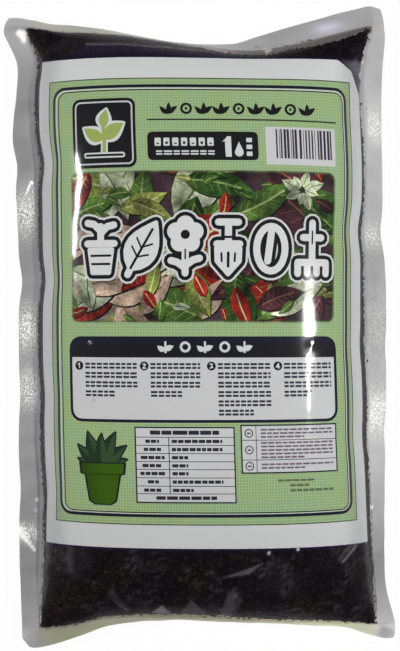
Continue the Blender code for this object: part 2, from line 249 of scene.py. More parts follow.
rim = np.linspace(-2, 2, 81)
edge = np.concatenate([front_web(*np.broadcast_arrays(rim, s)).reshape(-1, 3) for s in (-2.0, 2.0)]
                      + [front_web(*np.broadcast_arrays(s, rim)).reshape(-1, 3) for s in (-2.0, 2.0)])
low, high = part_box("front_film")
SHIFT = np.append((edge.min(0) + edge.max(0))[:2] / 2 - np.array(low + high)[:2] / MM / 2, 0)
print("outline", np.ptp(edge, axis=0).round(1), "shift to the frame", SHIFT.round(2))


# %% [markdown]
# ## From points to pieces
#
# Every piece is made the same way: whole arrays of points and faces are shifted into the shared frame
# and handed to Blender as a mesh. Modelling by hand could look the same once, but arrays can be
# worked out again from new measures.

# %% Mesh helpers
def grid_faces(columns, rows):
    """Four corners of each cell of a grid of points, counted column by column, facing up."""
    first = np.arange((columns - 1) * rows).reshape(columns - 1, rows)[:, :-1].ravel()
    return np.stack([first, first + rows, first + rows + 1, first + 1], axis=1)


def make_piece(name, points, faces, material, smooth=True):
    """A mesh piece in the shared frame from points in millimetres. It rides on the pack's one body."""
    mesh = bpy.data.meshes.new(name)
    in_frame = (points - SHIFT) * MM
    mesh.from_pydata(in_frame.tolist(), [], faces.tolist(), shade_flat=not smooth)
    mesh.materials.append(material)
    piece = bpy.data.objects.new(name, mesh)
    bpy.context.scene.collection.objects.link(piece)
    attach(piece, "root")
    print(name, len(faces) * (faces.shape[1] - 2), "triangles")
    return piece


# %% [markdown]
# ## A helper for node trees
#
# A node material is many small nodes and links. They could be clicked together in the shader editor,
# but then no script could build the part again. The helper below adds a node, fills or links its
# sockets and returns its output, so that each material reads like a formula.

# %% Helper for node trees
class Tree:
    """Adds nodes to a node tree. Each method returns the new node's output. An input is given as a
    number or a colour for its own socket, or as another node's output, which is then linked."""

    def __init__(self, tree):
        self.tree = tree

    def add(self, kind, inputs, out=None, **settings):
        node = self.tree.nodes.new("ShaderNode" + kind)
        for name, value in settings.items():
            setattr(node, name, value)
        for socket, value in inputs.items():
            if isinstance(value, bpy.types.NodeSocket):
                self.tree.links.new(value, node.inputs[socket])
            else:
                node.inputs[socket].default_value = value
        return node.outputs[out] if out else next((o for o in node.outputs if o.enabled), None)

    def attribute(self, name, out="Fac"):
        return self.add("Attribute", {}, out, attribute_name=name)

    def noise(self, vector, scale, detail, roughness=0.5):
        inputs = {"Vector": vector, "Scale": scale, "Detail": detail, "Roughness": roughness}
        return self.add("TexNoise", inputs, "Fac")

    def maths(self, operation, *values, clamp=False):
        return self.add("Math", dict(enumerate(values)), operation=operation, use_clamp=clamp)

    def vector(self, operation, *values):
        return self.add("VectorMath", dict(enumerate(values)), operation=operation)

    def scaled(self, vector, scale):
        return self.add("VectorMath", {0: vector, "Scale": scale}, operation="SCALE")

    def span(self, value, low, high, to_low=0.0, to_high=1.0, **settings):
        inputs = {"Value": value, "From Min": low, "From Max": high, "To Min": to_low, "To Max": to_high}
        return self.add("MapRange", inputs, **settings)

    def ramp(self, value, stops):
        out = self.add("ValToRGB", {0: value})
        elements = out.node.color_ramp.elements
        elements.remove(elements[1])
        elements[0].position, elements[0].color = stops[0][0], (*stops[0][1], 1)
        for position, colour in stops[1:]:
            elements.new(position).color = (*colour, 1)
        return out

    def mix(self, factor, a, b, kind="RGBA", **settings):
        return self.add("Mix", {"Factor": factor, "A": a, "B": b}, data_type=kind, **settings)

    def bump(self, height, strength, distance, **settings):
        inputs = {"Height": height, "Strength": strength, "Distance": distance}
        return self.add("Bump", inputs, **settings)

    def principled(self, colour, roughness, specular, normal):
        inputs = {"Base Color": colour, "Roughness": roughness, "Normal": normal}
        return self.add("BsdfPrincipled", {**inputs, "Specular IOR Level": specular})

    def blend(self, factor, first, second):
        return self.add("MixShader", {0: factor, 1: first, 2: second})


def make_material(name):
    """An empty node material and the helper that fills its node tree."""
    material = bpy.data.materials.new(name)
    material.use_nodes = True
    material.node_tree.nodes.clear()
    return material, Tree(material.node_tree)


# %% [markdown]
# ## Where the soil ends
#
# Soil doesn't reach the heat seal everywhere. Between its ragged rim and the seal the two webs touch, and
# the film there looks as grey as the seal. The gap is wide at the top right, where the fill has sunk.

# %% Gap between the seal's inner line and the soil
LEAST_GAP = 0.15
# width of the gap in millimetres, at stations along each side
GAP_LEFT = ((-1, 1.2), (-0.9, 1.8), (-0.75, 2.8), (-0.55, 1.8), (-0.3, 1.5), (0.3, 1.6), (0.7, 1.9), (1, 1.2))
GAP_RIGHT = ((-1, 1.2), (-0.7, 1.9), (-0.2, 1.5), (0.2, 2.2), (0.6, 2.8), (0.88, 3.6), (1, 1.6))
GAP_TOP = (
    (-1, 1.2), (-0.88, 1.4), (-0.5, 1.5), (-0.1, 2.2), (0.15, 3.6), (0.36, 4.4), (0.6, 3.9), (0.77, 4.6),
    (0.9, 3.8), (1, 1.6),
)
GAP_BOTTOM = ((-1, 1.2), (-0.8, 1.8), (-0.5, 3.4), (0, 4.4), (0.5, 3.1), (0.9, 2.0), (1, 1.2))


def distances(x, y):
    """Distance in plan from the left, right, bottom and top seal's inner line, positive inside."""
    (left, right), (bottom, top) = side_lines(y), end_lines(x)
    return x - left, right - x, y - bottom, top - y


def gaps(x, y):
    """How wide the gap between seal and soil is on each of the four sides, with a ragged part."""
    station_y, station_x = (y - MIDDLE) / HALF_LENGTH, x / HALF_WIDTH
    curves = zip((GAP_LEFT, GAP_RIGHT, GAP_BOTTOM, GAP_TOP), (station_y, station_y, station_x, station_x))
    return [np.maximum(smooth_curve(pairs, station), LEAST_GAP) for pairs, station in curves]


def soil_cover(x, y, width=2.4):
    """0 in the gap and 1 over the soil, 0.5 at its mean rim: a straight ramp, the least of four."""
    ramps = [0.5 + (distance - gap) / width for distance, gap in zip(distances(x, y), gaps(x, y))]
    return np.clip(np.minimum.reduce(ramps), 0, 1)


print("widest gap", max(width for station, width in GAP_TOP), "mm, at the top")

# %% [markdown]
# ## Clear film
#
# The real film is thin, clear plastic that is welded at the edges. Light passes, and only a small part
# is mirrored, more of it at a slant. So the material mixes a transparent and a glossy shader by the
# Layer Weight node's facing value. A third shader, a dull grey, shows the weld, the dust and the haze,
# and it also carries painted highlights and painted shade. One could paint that by hand. Here formulas
# of the place write masks into the mesh, so that the creases, the folds and the glints can each be
# moved by editing one line of a table.

# %% Creases of the film
CREASES = (
    # path in millimetres, half width, height, painted sheen of the crease
    (((-50.0, 113.8), (-36.0, 113.4), (-25.0, 112.7), (-15.0, 111.9), (-1.0, 111.0), (12.0, 109.8)),
     0.45, 0.1, 0.28),
    (((-62.5, -99.0), (-60.2, -106.5)), 0.5, 0.1, 0.05),
    (((-51.6, -100.0), (-50.4, -106.5)), 0.5, 0.1, 0.04),
    (((61.5, -112.7), (65.2, -108.5), (68.5, -105.8)), 0.7, 0.25, 0.12),
    (((14.8, -126.1), (17.5, -130.5), (14.9, -134.0)), 1.0, 0.3, 0.08),
    (((-38.6, -127.4), (-36.0, -131.2), (-32.2, -134.6)), 1.3, 0.4, 0.06),
    (((-56.2, -107.4), (-57.2, -112.9), (-56.3, -117.7)), 1.1, 0.4, 0.07),
)


def crease_fields(x, y):
    """Height and painted sheen of all creases: for each path a bell curve of the distance to its nearest
    point.
    """
    height, dust_and_painted_light = np.zeros(x.shape), np.zeros(x.shape)
    for path, half_width, rise, painted_sheen in CREASES:
        corners = np.array(path)
        nearest = np.full(x.shape, 1e9)
        for a, b in zip(corners, corners[1:]):
            way = b - a
            share = np.clip(((x - a[0]) * way[0] + (y - a[1]) * way[1]) / (way @ way), 0, 1)
            away = np.hypot(x - a[0] - share * way[0], y - a[1] - share * way[1])
            nearest = np.minimum(nearest, away)
        bell = np.exp(-((nearest / half_width) ** 2))
        height += rise * bell
        dust_and_painted_light += painted_sheen * bell
    return height, dust_and_painted_light


def film_relief(x, y, u, v):
    """How far the film stands off the formula's surface: slow waves, gathers at the seals, creases."""
    inside = np.clip(1 - np.maximum(np.abs(u), np.abs(v)), 0, 1)
    slow = 0.035 * waves(x, y, 30, 14, 1)
    near_side = np.exp(-np.clip(1 - np.abs(u), 0, 1) * HALF_WIDTH / 6)
    near_end = np.exp(-np.clip(1 - np.abs(v), 0, 1) * HALF_LENGTH / 9)
    gathers = 0.22 * near_side * waves(y, 0 * y, 22, 7, 2, 8) * (np.abs(u) < 1.02)
    gathers += 0.3 * near_end * waves(x, 0 * x, 26, 9, 3, 8) * (np.abs(v) < 1.02)
    out = np.maximum(np.abs(u), np.abs(v)) > 1
    ripple = np.where(out, 0.12 * waves(x, y, 24, 10, 4), 0)
    stand = np.maximum(slow + gathers * smooth_step(0, 0.02, inside), -0.15) + ripple
    return stand + crease_fields(x, y)[0] + glint_bumps_and_painted_highlights(x, y)[0]


print(len(CREASES), "creases, the highest", max(crease[2] for crease in CREASES), "mm")

# %% [markdown]
# ### Flat folds
#
# Where the film is too wide for the soil, it folds over flat and looks a shade duller. Real folds are
# layers of film a hair apart. A soft polygon in the film's haze shows the same at far less cost.

# %% Folds that lie flat on the soil
FLAPS = (
    # corners anticlockwise, dullness, softness of the edge
    (((-21.5, -137.4), (-12.5, -137.8), (-16.5, -133.4)), 0.40, 0.5),
    (((-8.0, -137.2), (3.5, -138.0), (-3.8, -130.6)), 0.12, 0.6),
    (((8.5, -138.8), (13.8, -139.2), (16.0, -127.5), (12.6, -127.0)), 0.12, 0.8),
    (((9.6, -120.0), (21.5, -118.2), (26.4, -113.8)), 0.19, 0.4),
    (((62.4, -114.4), (63.2, -114.9), (69.6, -108.0), (68.6, -107.4)), 0.34, 0.5),
    (((24.0, -117.0), (28.0, -128.0), (47.0, -130.0), (36.0, -112.0)), 0.012, 2.4),
    (((-64.5, -108.0), (-56.5, -124.0), (-46.0, -113.0), (-50.0, -107.6)), 0.022, 2.0),
    (((-69.0, 112.0), (-62.0, 109.0), (4.0, 109.0), (0.0, 113.4), (-35.6, 116.5), (-62.0, 117.3)),
     0.018, 1.2),
    (((27.4, 114.6), (29.6, 109.2), (32.6, 112.0), (31.0, 114.6)), 0.85, 0.5),
    (((66.0, 104.6), (70.5, 99.4), (72.6, 104.0), (69.5, 109.0)), 0.10, 0.8),
)


def flap_field(x, y):
    """The dullness of the folds: for each polygon, a soft step of the distance inside its edges."""
    total = np.zeros(x.shape)
    for path, dull, soft in FLAPS:
        corners = np.array(path)
        inside = np.full(x.shape, 1e9)
        for a, b in zip(corners, np.roll(corners, -1, axis=0)):
            way = (b - a) / np.linalg.norm(b - a)
            inside = np.minimum(inside, way[0] * (y - a[1]) - way[1] * (x - a[0]))
        total = np.maximum(total, dull * smooth_step(-soft, soft, inside))
    return total


print(len(FLAPS), "flat folds")

# %% [markdown]
# ### Weld, dust and painted glints
#
# The weld is stamped with a fine grain, so it is dull grey, with painted white glitter in spots. How light
# it is differs along each edge, partly by painted light and shade, so tables give the grey at a few
# stations and a smooth curve joins them.

# %% Grey of the weld and of the dust, with painted light, glitter and glints
EDGE_GREY_AND_PAINTED_LIGHT = {
    # station along the edge, grey with painted light and shade
    "left": (
        (-2, 0.38), (-1, 0.34), (-0.8, 0.25), (-0.5, 0.27), (0, 0.29), (0.5, 0.25), (0.8, 0.26), (1, 0.35),
        (2, 0.42),
    ),
    "right": (
        (-2, 0.46), (-1, 0.42), (-0.85, 0.20), (-0.6, 0.36), (-0.4, 0.48), (0, 0.33), (0.6, 0.43), (1, 0.39),
        (2, 0.41),
    ),
    "bottom": (
        (-2, 0.38), (-1, 0.34), (-0.6, 0.36), (0, 0.39), (0.3, 0.60), (0.6, 0.86), (0.9, 0.80), (1.2, 0.50),
        (2, 0.46),
    ),
    "top": ((-2, 0.44), (-1, 0.43), (-0.6, 0.41), (0, 0.40), (0.5, 0.34), (1, 0.37), (2, 0.40)),
}


def film_cast(u, v):
    """The dull grey at each place, with its painted light and shade: the values along the two nearest edges,
    mixed by nearness.
    """
    across = np.where(u < 0, smooth_curve(EDGE_GREY_AND_PAINTED_LIGHT["left"], v), smooth_curve(EDGE_GREY_AND_PAINTED_LIGHT["right"], v))
    along = np.where(v < 0, smooth_curve(EDGE_GREY_AND_PAINTED_LIGHT["bottom"], u), smooth_curve(EDGE_GREY_AND_PAINTED_LIGHT["top"], u))
    lead = smooth_step(-0.10, 0.10, np.abs(u) - 1 - (np.abs(v) - 1) * HALF_LENGTH / HALF_WIDTH)
    grey = across * lead + along * (1 - lead)
    warm = np.where(v < 0, 1.2, 0.25 - 0.25 * np.sign(u))
    warm = (1 - lead) * warm * (1 - smooth_step(0.75, 1.2, np.abs(u)))
    return np.stack([grey * (1 - 0.02 * warm), grey, grey * (1 - 0.36 * warm)], axis=-1)


PAINTED_SPARKLE_ZONES = (
    # middle in u and v, half length in v, strength: where painted white glitter lies on the weld's fine
    # stamping
    (-1.5, 0.38, 0.07, 0.9), (-1.5, 0.0, 0.065, 1.2), (-1.5, -0.2, 0.06, 0.9), (-1.6, -0.68, 0.03, 0.9),
    (1.45, 0.67, 0.06, 0.9), (1.5, -0.02, 0.13, 0.3), (1.5, -0.29, 0.07, 1.4), (1.4, 0.30, 0.05, 0.7),
)
GLINT_BUMPS_AND_PAINTED_HIGHLIGHTS = (
    # small wrinkles and folds that mirror a lamp, with painted highlights: X, Y, radius, height, painted
    # brightness
    (29.8, -108.9, 0.8, 0.3, 0.8), (42.5, -107.5, 0.8, 0.3, 0.9),
    (-47.3, -18.2, 0.7, 0.3, 0.5), (-46.0, -42.9, 0.7, 0.3, 0.5), (-60.4, -27.5, 0.6, 0.3, 0.7),
    (-42.9, -56.3, 0.7, 0.3, 0.6), (-38.9, -54.9, 0.6, 0.3, 0.4), (76.7, -92.0, 1.1, 0.4, 0.8),
    (76.9, -103.1, 0.8, 0.4, 0.7), (-74.1, -89.3, 0.8, 0.3, 0.7), (-74.3, -94.0, 0.6, 0.3, 0.6),
    (-79.8, 120.6, 1.9, 0.2, 1.8), (-81.7, 121.6, 1.4, 0.2, 1.6), (-79.4, 118.4, 1.3, 0.1, 1.4),
    (-81.8, -103.4, 2.4, 0.2, 1.0), (-80.0, -105.9, 1.7, 0.2, 1.0), (-78.3, -107.9, 1.2, 0.2, 1.1),
    (-77.0, -109.4, 1.0, 0.1, 1.1), (-75.8, -110.8, 0.9, 0.1, 1.1), (-74.8, -112.0, 0.8, 0.1, 1.0),
    (71.5, 101.5, 0.7, 0.3, 0.8), (72.8, 107.5, 0.9, 0.3, 0.5), (49.0, -18.2, 2.4, 0.16, 0.0),
)


def glint_bumps_and_painted_highlights(x, y):
    """Height of the glints and brightness of their painted highlights: bell curves round their middles."""
    height, bright = np.zeros(x.shape), np.zeros(x.shape)
    for mid_x, mid_y, radius, rise, shine in GLINT_BUMPS_AND_PAINTED_HIGHLIGHTS:
        bell = np.exp(-((x - mid_x) ** 2 + (y - mid_y) ** 2) / radius**2)
        height += rise * bell
        bright += shine * bell**1.5
    return height, bright


def painted_sparkle_spots(u, v):
    """0 to 1: soft spots of painted glitter along the side seals."""
    total = np.zeros(u.shape)
    for mid_u, mid_v, reach, strength in PAINTED_SPARKLE_ZONES:
        total += strength * np.exp(-(((u - mid_u) / 0.55) ** 4) - ((v - mid_v) / reach) ** 2)
    return np.clip(total, 0, 1.3) * (np.abs(u) > 1)


print(len(GLINT_BUMPS_AND_PAINTED_HIGHLIGHTS), "glints,", len(PAINTED_SPARKLE_ZONES), "zones that sparkle")

# %% Film material
WELD_HAZE, PAINTED_GLINT_WHITE, SPECK_BROWN = 0.88, (1.0, 1.0, 0.98, 1), (0.03, 0.025, 0.016, 1)
LEAST_MIRROR, MOST_MIRROR = 0.035, 0.9


def film_material():
    """Clear film that mirrors more at a slant: least mirror at a straight look, and growing with the
    fifth power of the facing value. The haze mask turns it to dull grey, with a ragged border. Painted white
    glitter on the weld and painted white glints are mixed into that grey."""
    material, tree = make_material("clear_film")
    place = tree.add("TexCoord", {}, "Object")
    grain, cloud = tree.noise(place, 1250, 2), tree.noise(place, 70, 4)
    rim_grain = tree.noise(place, 620, 3, 0.65)
    on_soil = tree.span(tree.maths("MULTIPLY_ADD", rim_grain, 1.6, tree.attribute("cover")), 1.24, 1.36)
    haze = tree.mix(on_soil, WELD_HAZE, tree.attribute("dust_and_painted_light"), kind="FLOAT")
    # painted highlights: white glitter in the weld's sparkle spots and white glints are mixed into the grey
    stamping = tree.ramp(grain, ((0.44, (0.12, 0.12, 0.12)), (0.60, (1, 1, 1))))
    painted_glitter = tree.maths("MULTIPLY", stamping, tree.attribute("sparkle"))
    painted_white = tree.maths("ADD", painted_glitter, tree.attribute("painted_glare"), clamp=True)
    grey = tree.scaled(tree.attribute("cast", "Color"), tree.span(cloud, 0.3, 0.7, 0.95, 1.05))
    is_speck = tree.span(tree.maths("MULTIPLY_ADD", rim_grain, 1.6, tree.attribute("specks")), 1.22, 1.34)
    colour = tree.mix(is_speck, tree.mix(painted_white, grey, PAINTED_GLINT_WHITE), SPECK_BROWN)
    dull = tree.principled(colour, 0.45, 0.3, tree.bump(grain, 0.25, 0.0002))
    steep = tree.maths("POWER", tree.add("LayerWeight", {"Blend": 0.5}, "Facing"), 5.0)
    mirror = tree.span(steep, 0.0, 1.0, LEAST_MIRROR, MOST_MIRROR)
    skin = tree.blend(mirror, tree.add("BsdfTransparent", {}), tree.add("BsdfGlossy", {"Roughness": 0.07}))
    tree.add("OutputMaterial", {0: tree.blend(haze, skin, dull)})
    return material


CLEAR_FILM = film_material()
print("clear film:", len(CLEAR_FILM.node_tree.nodes), "nodes")

# %% [markdown]
# ## The two webs
#
# A web is one grid of points, closer over the heat seals. The front web is lifted along its normals by
# waves, gathers and creases, since film that is pulled over soil stands off it a little. The masks are
# worked out at the same points, so each stays on its crease when the shape is changed.

# %% Masks and grids of a web
def paint(piece, name, values, domain="POINT"):
    """Stores one number or one colour per vertex, or per face corner, as a named attribute."""
    if values.ndim == 3 and values.shape[-1] == 3:
        layer = piece.data.color_attributes.new(name, "FLOAT_COLOR", domain)
        whole = np.concatenate([values, np.ones(values.shape[:-1] + (1,))], axis=-1)
        layer.data.foreach_set("color", whole.astype(np.float32).ravel())
    else:
        layer = piece.data.attributes.new(name, "FLOAT", domain)
        layer.data.foreach_set("value", values.astype(np.float32).ravel())


def film_lines(inner, band):
    """Parameter stations of a web: even ones between the seals and closer ones over each seal."""
    middle = np.linspace(-1, 1, inner)
    out = np.linspace(1, 2, band + 1)[1:]
    return np.concatenate([-out[::-1], middle, out])


def lift_off(points, distance):
    """Moves each point of a grid of points along its own normal: the cross product of the grid's ways."""
    normal = np.cross(np.gradient(points, axis=0), np.gradient(points, axis=1))
    normal /= np.maximum(np.linalg.norm(normal, axis=-1, keepdims=True), 1e-9)
    return points + distance[..., None] * normal


# %% How dull, dark and dusty each place is, and where light and shade are painted
SPECK_LINE = ((20.0, 114.6), (36.1, 116.1), (45.2, 117.5), (56.0, 118.3), (65.1, 120.7), (72.0, 122.0))
DUSTY_BROWN, FOLD_CREAM, PAINTED_LILAC_HIGHLIGHT = (0.108, 0.092, 0.085), (0.46, 0.43, 0.40), (0.24, 0.22, 0.34)
VIOLET_BESIDE_SHEET, VIOLET_PAST_SHEET = (0.27, 0.265, 0.28), (0.30, 0.265, 0.31)


def pale_fold(x, y):
    """1 on the palest flat fold, and 0 on the others."""
    return smooth_step(0.5, 0.8, flap_field(x, y))


def film_specks(x, y):
    """How thick crumbs and dusty specks are caught between the webs: close to the soil's rim, and in one line.
    """
    past = np.maximum.reduce([gap - distance for distance, gap in zip(distances(x, y), gaps(x, y))])
    near_rim = (0.33 + 0.10 * smooth_step(-40, -110, y)) * np.exp(-(((past - 0.6) / 1.1) ** 2))
    near_rim *= past > -0.5
    corners = np.array(SPECK_LINE)
    line = np.interp(x, corners[:, 0], corners[:, 1], left=1e3, right=1e3)
    return np.maximum(near_rim, 0.38 * np.exp(-(((y - line) / 0.8) ** 2)))


def film_cover(x, y, u, v):
    """0 over weld and gap and 1 over soil, but 0 under the pale fold."""
    return np.where(within_seals(u, v), soil_cover(x, y) * (1 - pale_fold(x, y)), 0)


def film_dust_and_painted_light(x, y):
    """How dull the film is over the soil: faint dusty clouds, flat folds, painted sheen on the creases
    and painted glints, painted shade over the sheet's side margins and a painted sheen near the sides.
    """
    clouds = np.clip(waves(0.6 * x + y, y - 0.5 * x, 34, 5, 6, 60) - 0.1, 0, 1) * smooth_step(-103, -110, y)
    clouds *= 0.6 + 0.8 * waves(x, y, 5, 2, 9)
    dust_and_painted_light = 0.005 + 0.05 * clouds + crease_fields(x, y)[1] + flap_field(x, y)
    off_middle = np.abs(places(x, y)[0])
    # painted shade over the sheet's side margins, and a painted sheen on the film close to the sides
    painted_shade_on_margin = smooth_step(0.78, 0.91, off_middle) * smooth_step(0.012, 0.0, off_middle - SHEET_SHARE)
    dust_and_painted_light += 0.20 * painted_shade_on_margin * (np.abs(y) < SHEET_LENGTH / 2) + 0.06 * smooth_step(0.95, 0.995, off_middle)
    return np.clip(dust_and_painted_light + glint_bumps_and_painted_highlights(x, y)[1], 0, 1)


def film_tone(x, y, u, v):
    """The weld's grey with its painted light and shade, darker and browner over the gap, with a painted lilac
    highlight at the top right.
    """
    cast = film_cast(u, v) * (1 + 0.05 * waves(x * 0.4, y, 30, 5, 8))[..., None]
    inside = within_seals(u, v)
    shares = [distance / gap for distance, gap in zip(distances(x, y), gaps(x, y))]
    near = [smooth_step(0.1, 0.8, share) * (share < 2.2) for share in shares]
    right_half = smooth_step(4, 22, x)
    near_top = smooth_step(-0.1, 0.4, shares[3]) * (shares[3] < 2.2)
    depth = np.maximum.reduce([(0.1 + 0.4 * smooth_step(-80, -20, y)) * near[0], 0.3 * near[1],
                               0.35 * near[2], near_top * (0.4 + 0.6 * right_half)])
    depth = np.where(inside, depth, 0)[..., None]
    cast = cast * (1 - depth) + np.array(DUSTY_BROWN) * depth
    on_soil = smooth_step(0.4, 0.9, soil_cover(x, y))[..., None]
    beside_sheet = (np.abs(y) < SHEET_LENGTH / 2)[..., None]
    violet_grey = np.where(beside_sheet, VIOLET_BESIDE_SHEET, VIOLET_PAST_SHEET)
    cast = np.where(inside[..., None], cast * (1 - on_soil) + violet_grey * on_soil, cast)
    # painted highlight: a lilac gleam at the top right
    painted_gleam = np.exp(-(((x - 57.8) / 6.5) ** 2) - ((y - 124.2 - 0.16 * (x - 57.8)) / 2.4) ** 2)
    fold = pale_fold(x, y)[..., None]
    cast = cast * (1 - fold) + np.array(FOLD_CREAM) * fold
    return cast + painted_gleam[..., None] * np.array(PAINTED_LILAC_HIGHLIGHT)


def dress_web(web, x, y, u, v, dust_and_painted_light, painted_glare):
    """Writes the six masks that the film's material reads."""
    paint(web, "cover", film_cover(x, y, u, v))
    paint(web, "dust_and_painted_light", dust_and_painted_light)
    paint(web, "specks", film_specks(x, y))
    paint(web, "cast", film_tone(x, y, u, v))
    paint(web, "painted_glare", painted_glare)
    paint(web, "sparkle", painted_sparkle_spots(u, v))


print("specks lie from X", SPECK_LINE[0][0], "to", SPECK_LINE[-1][0], "mm")

# %% Front and back web
FILM_LIFT, WELD_DROP, FLOOR_GAP = 0.23, 0.2, 0.03
u, v = np.meshgrid(film_lines(221, 12), film_lines(351, 12), indexing="ij")
x, y, _ = web_plan(u, v)
film_points = lift_off(front_web(u, v), FILM_LIFT + film_relief(x, y, u, v))
front = make_piece("front_web", film_points.reshape(-1, 3), grid_faces(*u.shape), CLEAR_FILM)
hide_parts("front_film")
dress_web(front, x, y, u, v, film_dust_and_painted_light(x, y), glint_bumps_and_painted_highlights(x, y)[1])

u, v = np.meshgrid(film_lines(101, 6), film_lines(161, 6), indexing="ij")
x, y, _ = web_plan(u, v)
back_points = back_web(u, v, lowest=0.1)
back_points[..., 2] -= np.where(within_seals(u, v), 0, WELD_DROP)
back_points[..., 2] = np.maximum(back_points[..., 2], FLOOR_GAP)
back_faces = grid_faces(*u.shape)[:, ::-1]
back = make_piece("back_web", back_points.reshape(-1, 3), back_faces, CLEAR_FILM)
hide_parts("back_film")
dress_web(back, x, y, u, v, np.full(u.shape, 0.02), np.zeros(u.shape))

# %% [markdown]
# ## The printed sheet
#
# The sheet is paper with a few flat inks. Every printed shape is a polygon in the sheet's own
# millimetres, s across and t up. One triangulation cuts the whole sheet along all outlines, and each
# triangle takes the ink of the last shape printed there, as in real overprinting. So the print has sharp
# edges at any distance, and it bends with the paper.

# %% Places on the sheet
def sheet_point(s, t, lift):
    """The point s across and t up the sheet, in millimetres on the film, lifted along the normal.
    The place across follows from the length along the pillow's curve."""
    def base(s, t):
        share = np.sign(s) * np.interp(np.abs(s), on_film, place)
        left, right = side_lines(t)
        return front_point((left + right) / 2 + share * (right - left) / 2, t)
    step = 0.05
    ds = base(s + step, t) - base(s - step, t)
    dt = base(s, t + step) - base(s, t - step)
    normal = np.cross(ds, dt)
    normal /= np.linalg.norm(normal, axis=-1, keepdims=True)
    return base(s, t) + lift * normal


# %% Inks and shapes
WHITE, PANEL, FIELD = (0.585, 0.59, 0.59), (0.535, 0.535, 0.54), (0.245, 0.358, 0.162)
DARK, NAVY, TITLE = (0.009, 0.009, 0.010), (0.008, 0.009, 0.022), (0.62, 0.62, 0.62)
TEXT, PALE = (0.022, 0.022, 0.028), (0.52, 0.56, 0.48)
shapes = []


def dense(corners, step=2.4):
    """The outline through the corners, with more points so that no stretch is longer than step."""
    corners = np.asarray(corners, float)
    after = np.roll(corners, -1, axis=0)
    counts = np.maximum(np.ceil(np.linalg.norm(after - corners, axis=1) / step).astype(int), 1)
    share = np.concatenate([np.arange(n) / n for n in counts])
    which = np.repeat(np.arange(len(corners)), counts)
    return corners[which] + share[:, None] * (after - corners)[which]


def ink(colour, corners, end_colour=None, start=(0, 0), end=(1, 0)):
    """Prints a shape over the shapes before it, in one colour or fading from start to end. The outline
    is turned so that it runs anticlockwise: its area, by the cross products, is positive."""
    outline = dense(corners)
    ahead = np.roll(outline, -1, axis=0)
    turned = (outline[:, 0] * ahead[:, 1] - outline[:, 1] * ahead[:, 0]).sum() < 0
    shapes.append((outline[::-1] if turned else outline, colour, end_colour or colour, start, end))


def block(s0, t0, s1, t1, radius=0.0):
    """A rectangle with quarter circles of a radius at its corners."""
    s0, s1, t0, t1 = min(s0, s1), max(s0, s1), min(t0, t1), max(t0, t1)
    if radius == 0:
        return np.array([(s0, t0), (s1, t0), (s1, t1), (s0, t1)])
    turn = np.radians(np.arange(0, 91, 22.5))
    quarter = radius * np.stack([np.cos(turn), np.sin(turn)], axis=1)
    swap = quarter[::-1]
    return np.concatenate([
        (s1 - radius, t1 - radius) + quarter, (s0 + radius, t1 - radius) + swap * (-1, 1),
        (s0 + radius, t0 + radius) - quarter, (s1 - radius, t0 + radius) + swap * (1, -1),
    ])


def disc(s, t, radius, sides=20):
    """A circle as a many sided polygon."""
    turn = np.arange(sides) * 2 * np.pi / sides
    return np.stack([s + radius * np.cos(turn), t + radius * np.sin(turn)], axis=1)


def draw(colour, path, half_width):
    """Prints a line of constant width with round ends: for each stretch of the path, a rectangle with
    a half circle at both ends."""
    path = np.asarray(path, float)
    turn = np.radians(np.arange(-90, 91, 36))
    for a, b in zip(path, path[1:]):
        way = (b - a) / max(np.linalg.norm(b - a), 1e-9) * half_width
        side = np.array([-way[1], way[0]])
        cap = np.cos(turn)[:, None] * way + np.sin(turn)[:, None] * side
        ink(colour, np.concatenate([b + cap, a - cap]))


def closed(corners):
    """A polygon's outline as a path that ends where it starts."""
    return np.concatenate([corners, corners[:1]])


def leaf(s, t, angle, length, width, bend=0.0, steps=9):
    """Left half, right half and midrib of a leaf from s, t: the half width is a sine over the length, skewed
    towards the stalk, and the midrib is a parabola with a given bend."""
    share = np.linspace(0, 1, steps)
    along, off = share * length, bend * length * share * (1 - share)
    half = width / 2 * np.sin(np.pi * share**0.8)
    turn = np.array([[np.cos(angle), np.sin(angle)], [-np.sin(angle), np.cos(angle)]])
    place_on = lambda a, b: np.stack([a, b], axis=1) @ turn + (s, t)
    rib, up, down = place_on(along, off), place_on(along, off + half), place_on(along, off - half)
    left_half = np.concatenate([rib, up[-2:0:-1]])
    right_half = np.concatenate([down, rib[-2:0:-1]])
    return left_half, right_half, rib


def plates(*rows):
    """Prints rectangles one over another. A row is a colour and the numbers that block asks for."""
    for colour, *numbers in rows:
        ink(colour, block(*numbers))


def print_leaf(first, second, grow, *numbers):
    """Prints a leaf's two halves in two colours, and first an outline that is grow wide on each side."""
    halves = leaf(*numbers)[:2]
    if grow:
        for half in halves:
            draw(first, closed(half), grow)
    ink(first, halves[0])
    ink(second, halves[1])


print("a round corner takes", len(block(0, 0, 9, 9, 1)) // 4, "points, a leaf", len(leaf(0, 0, 0, 9, 3)[0]))

# %% [markdown]
# ### The picture
#
# The middle of the print is a picture of house plants. Here it is a heap of generic leaves: dark glossy
# ones, pale variegated ones and a few red ones, laid down at random from a fixed seed. Each leaf has two
# halves in two tones and a midrib, because that is what makes a flat shape read as a leaf.

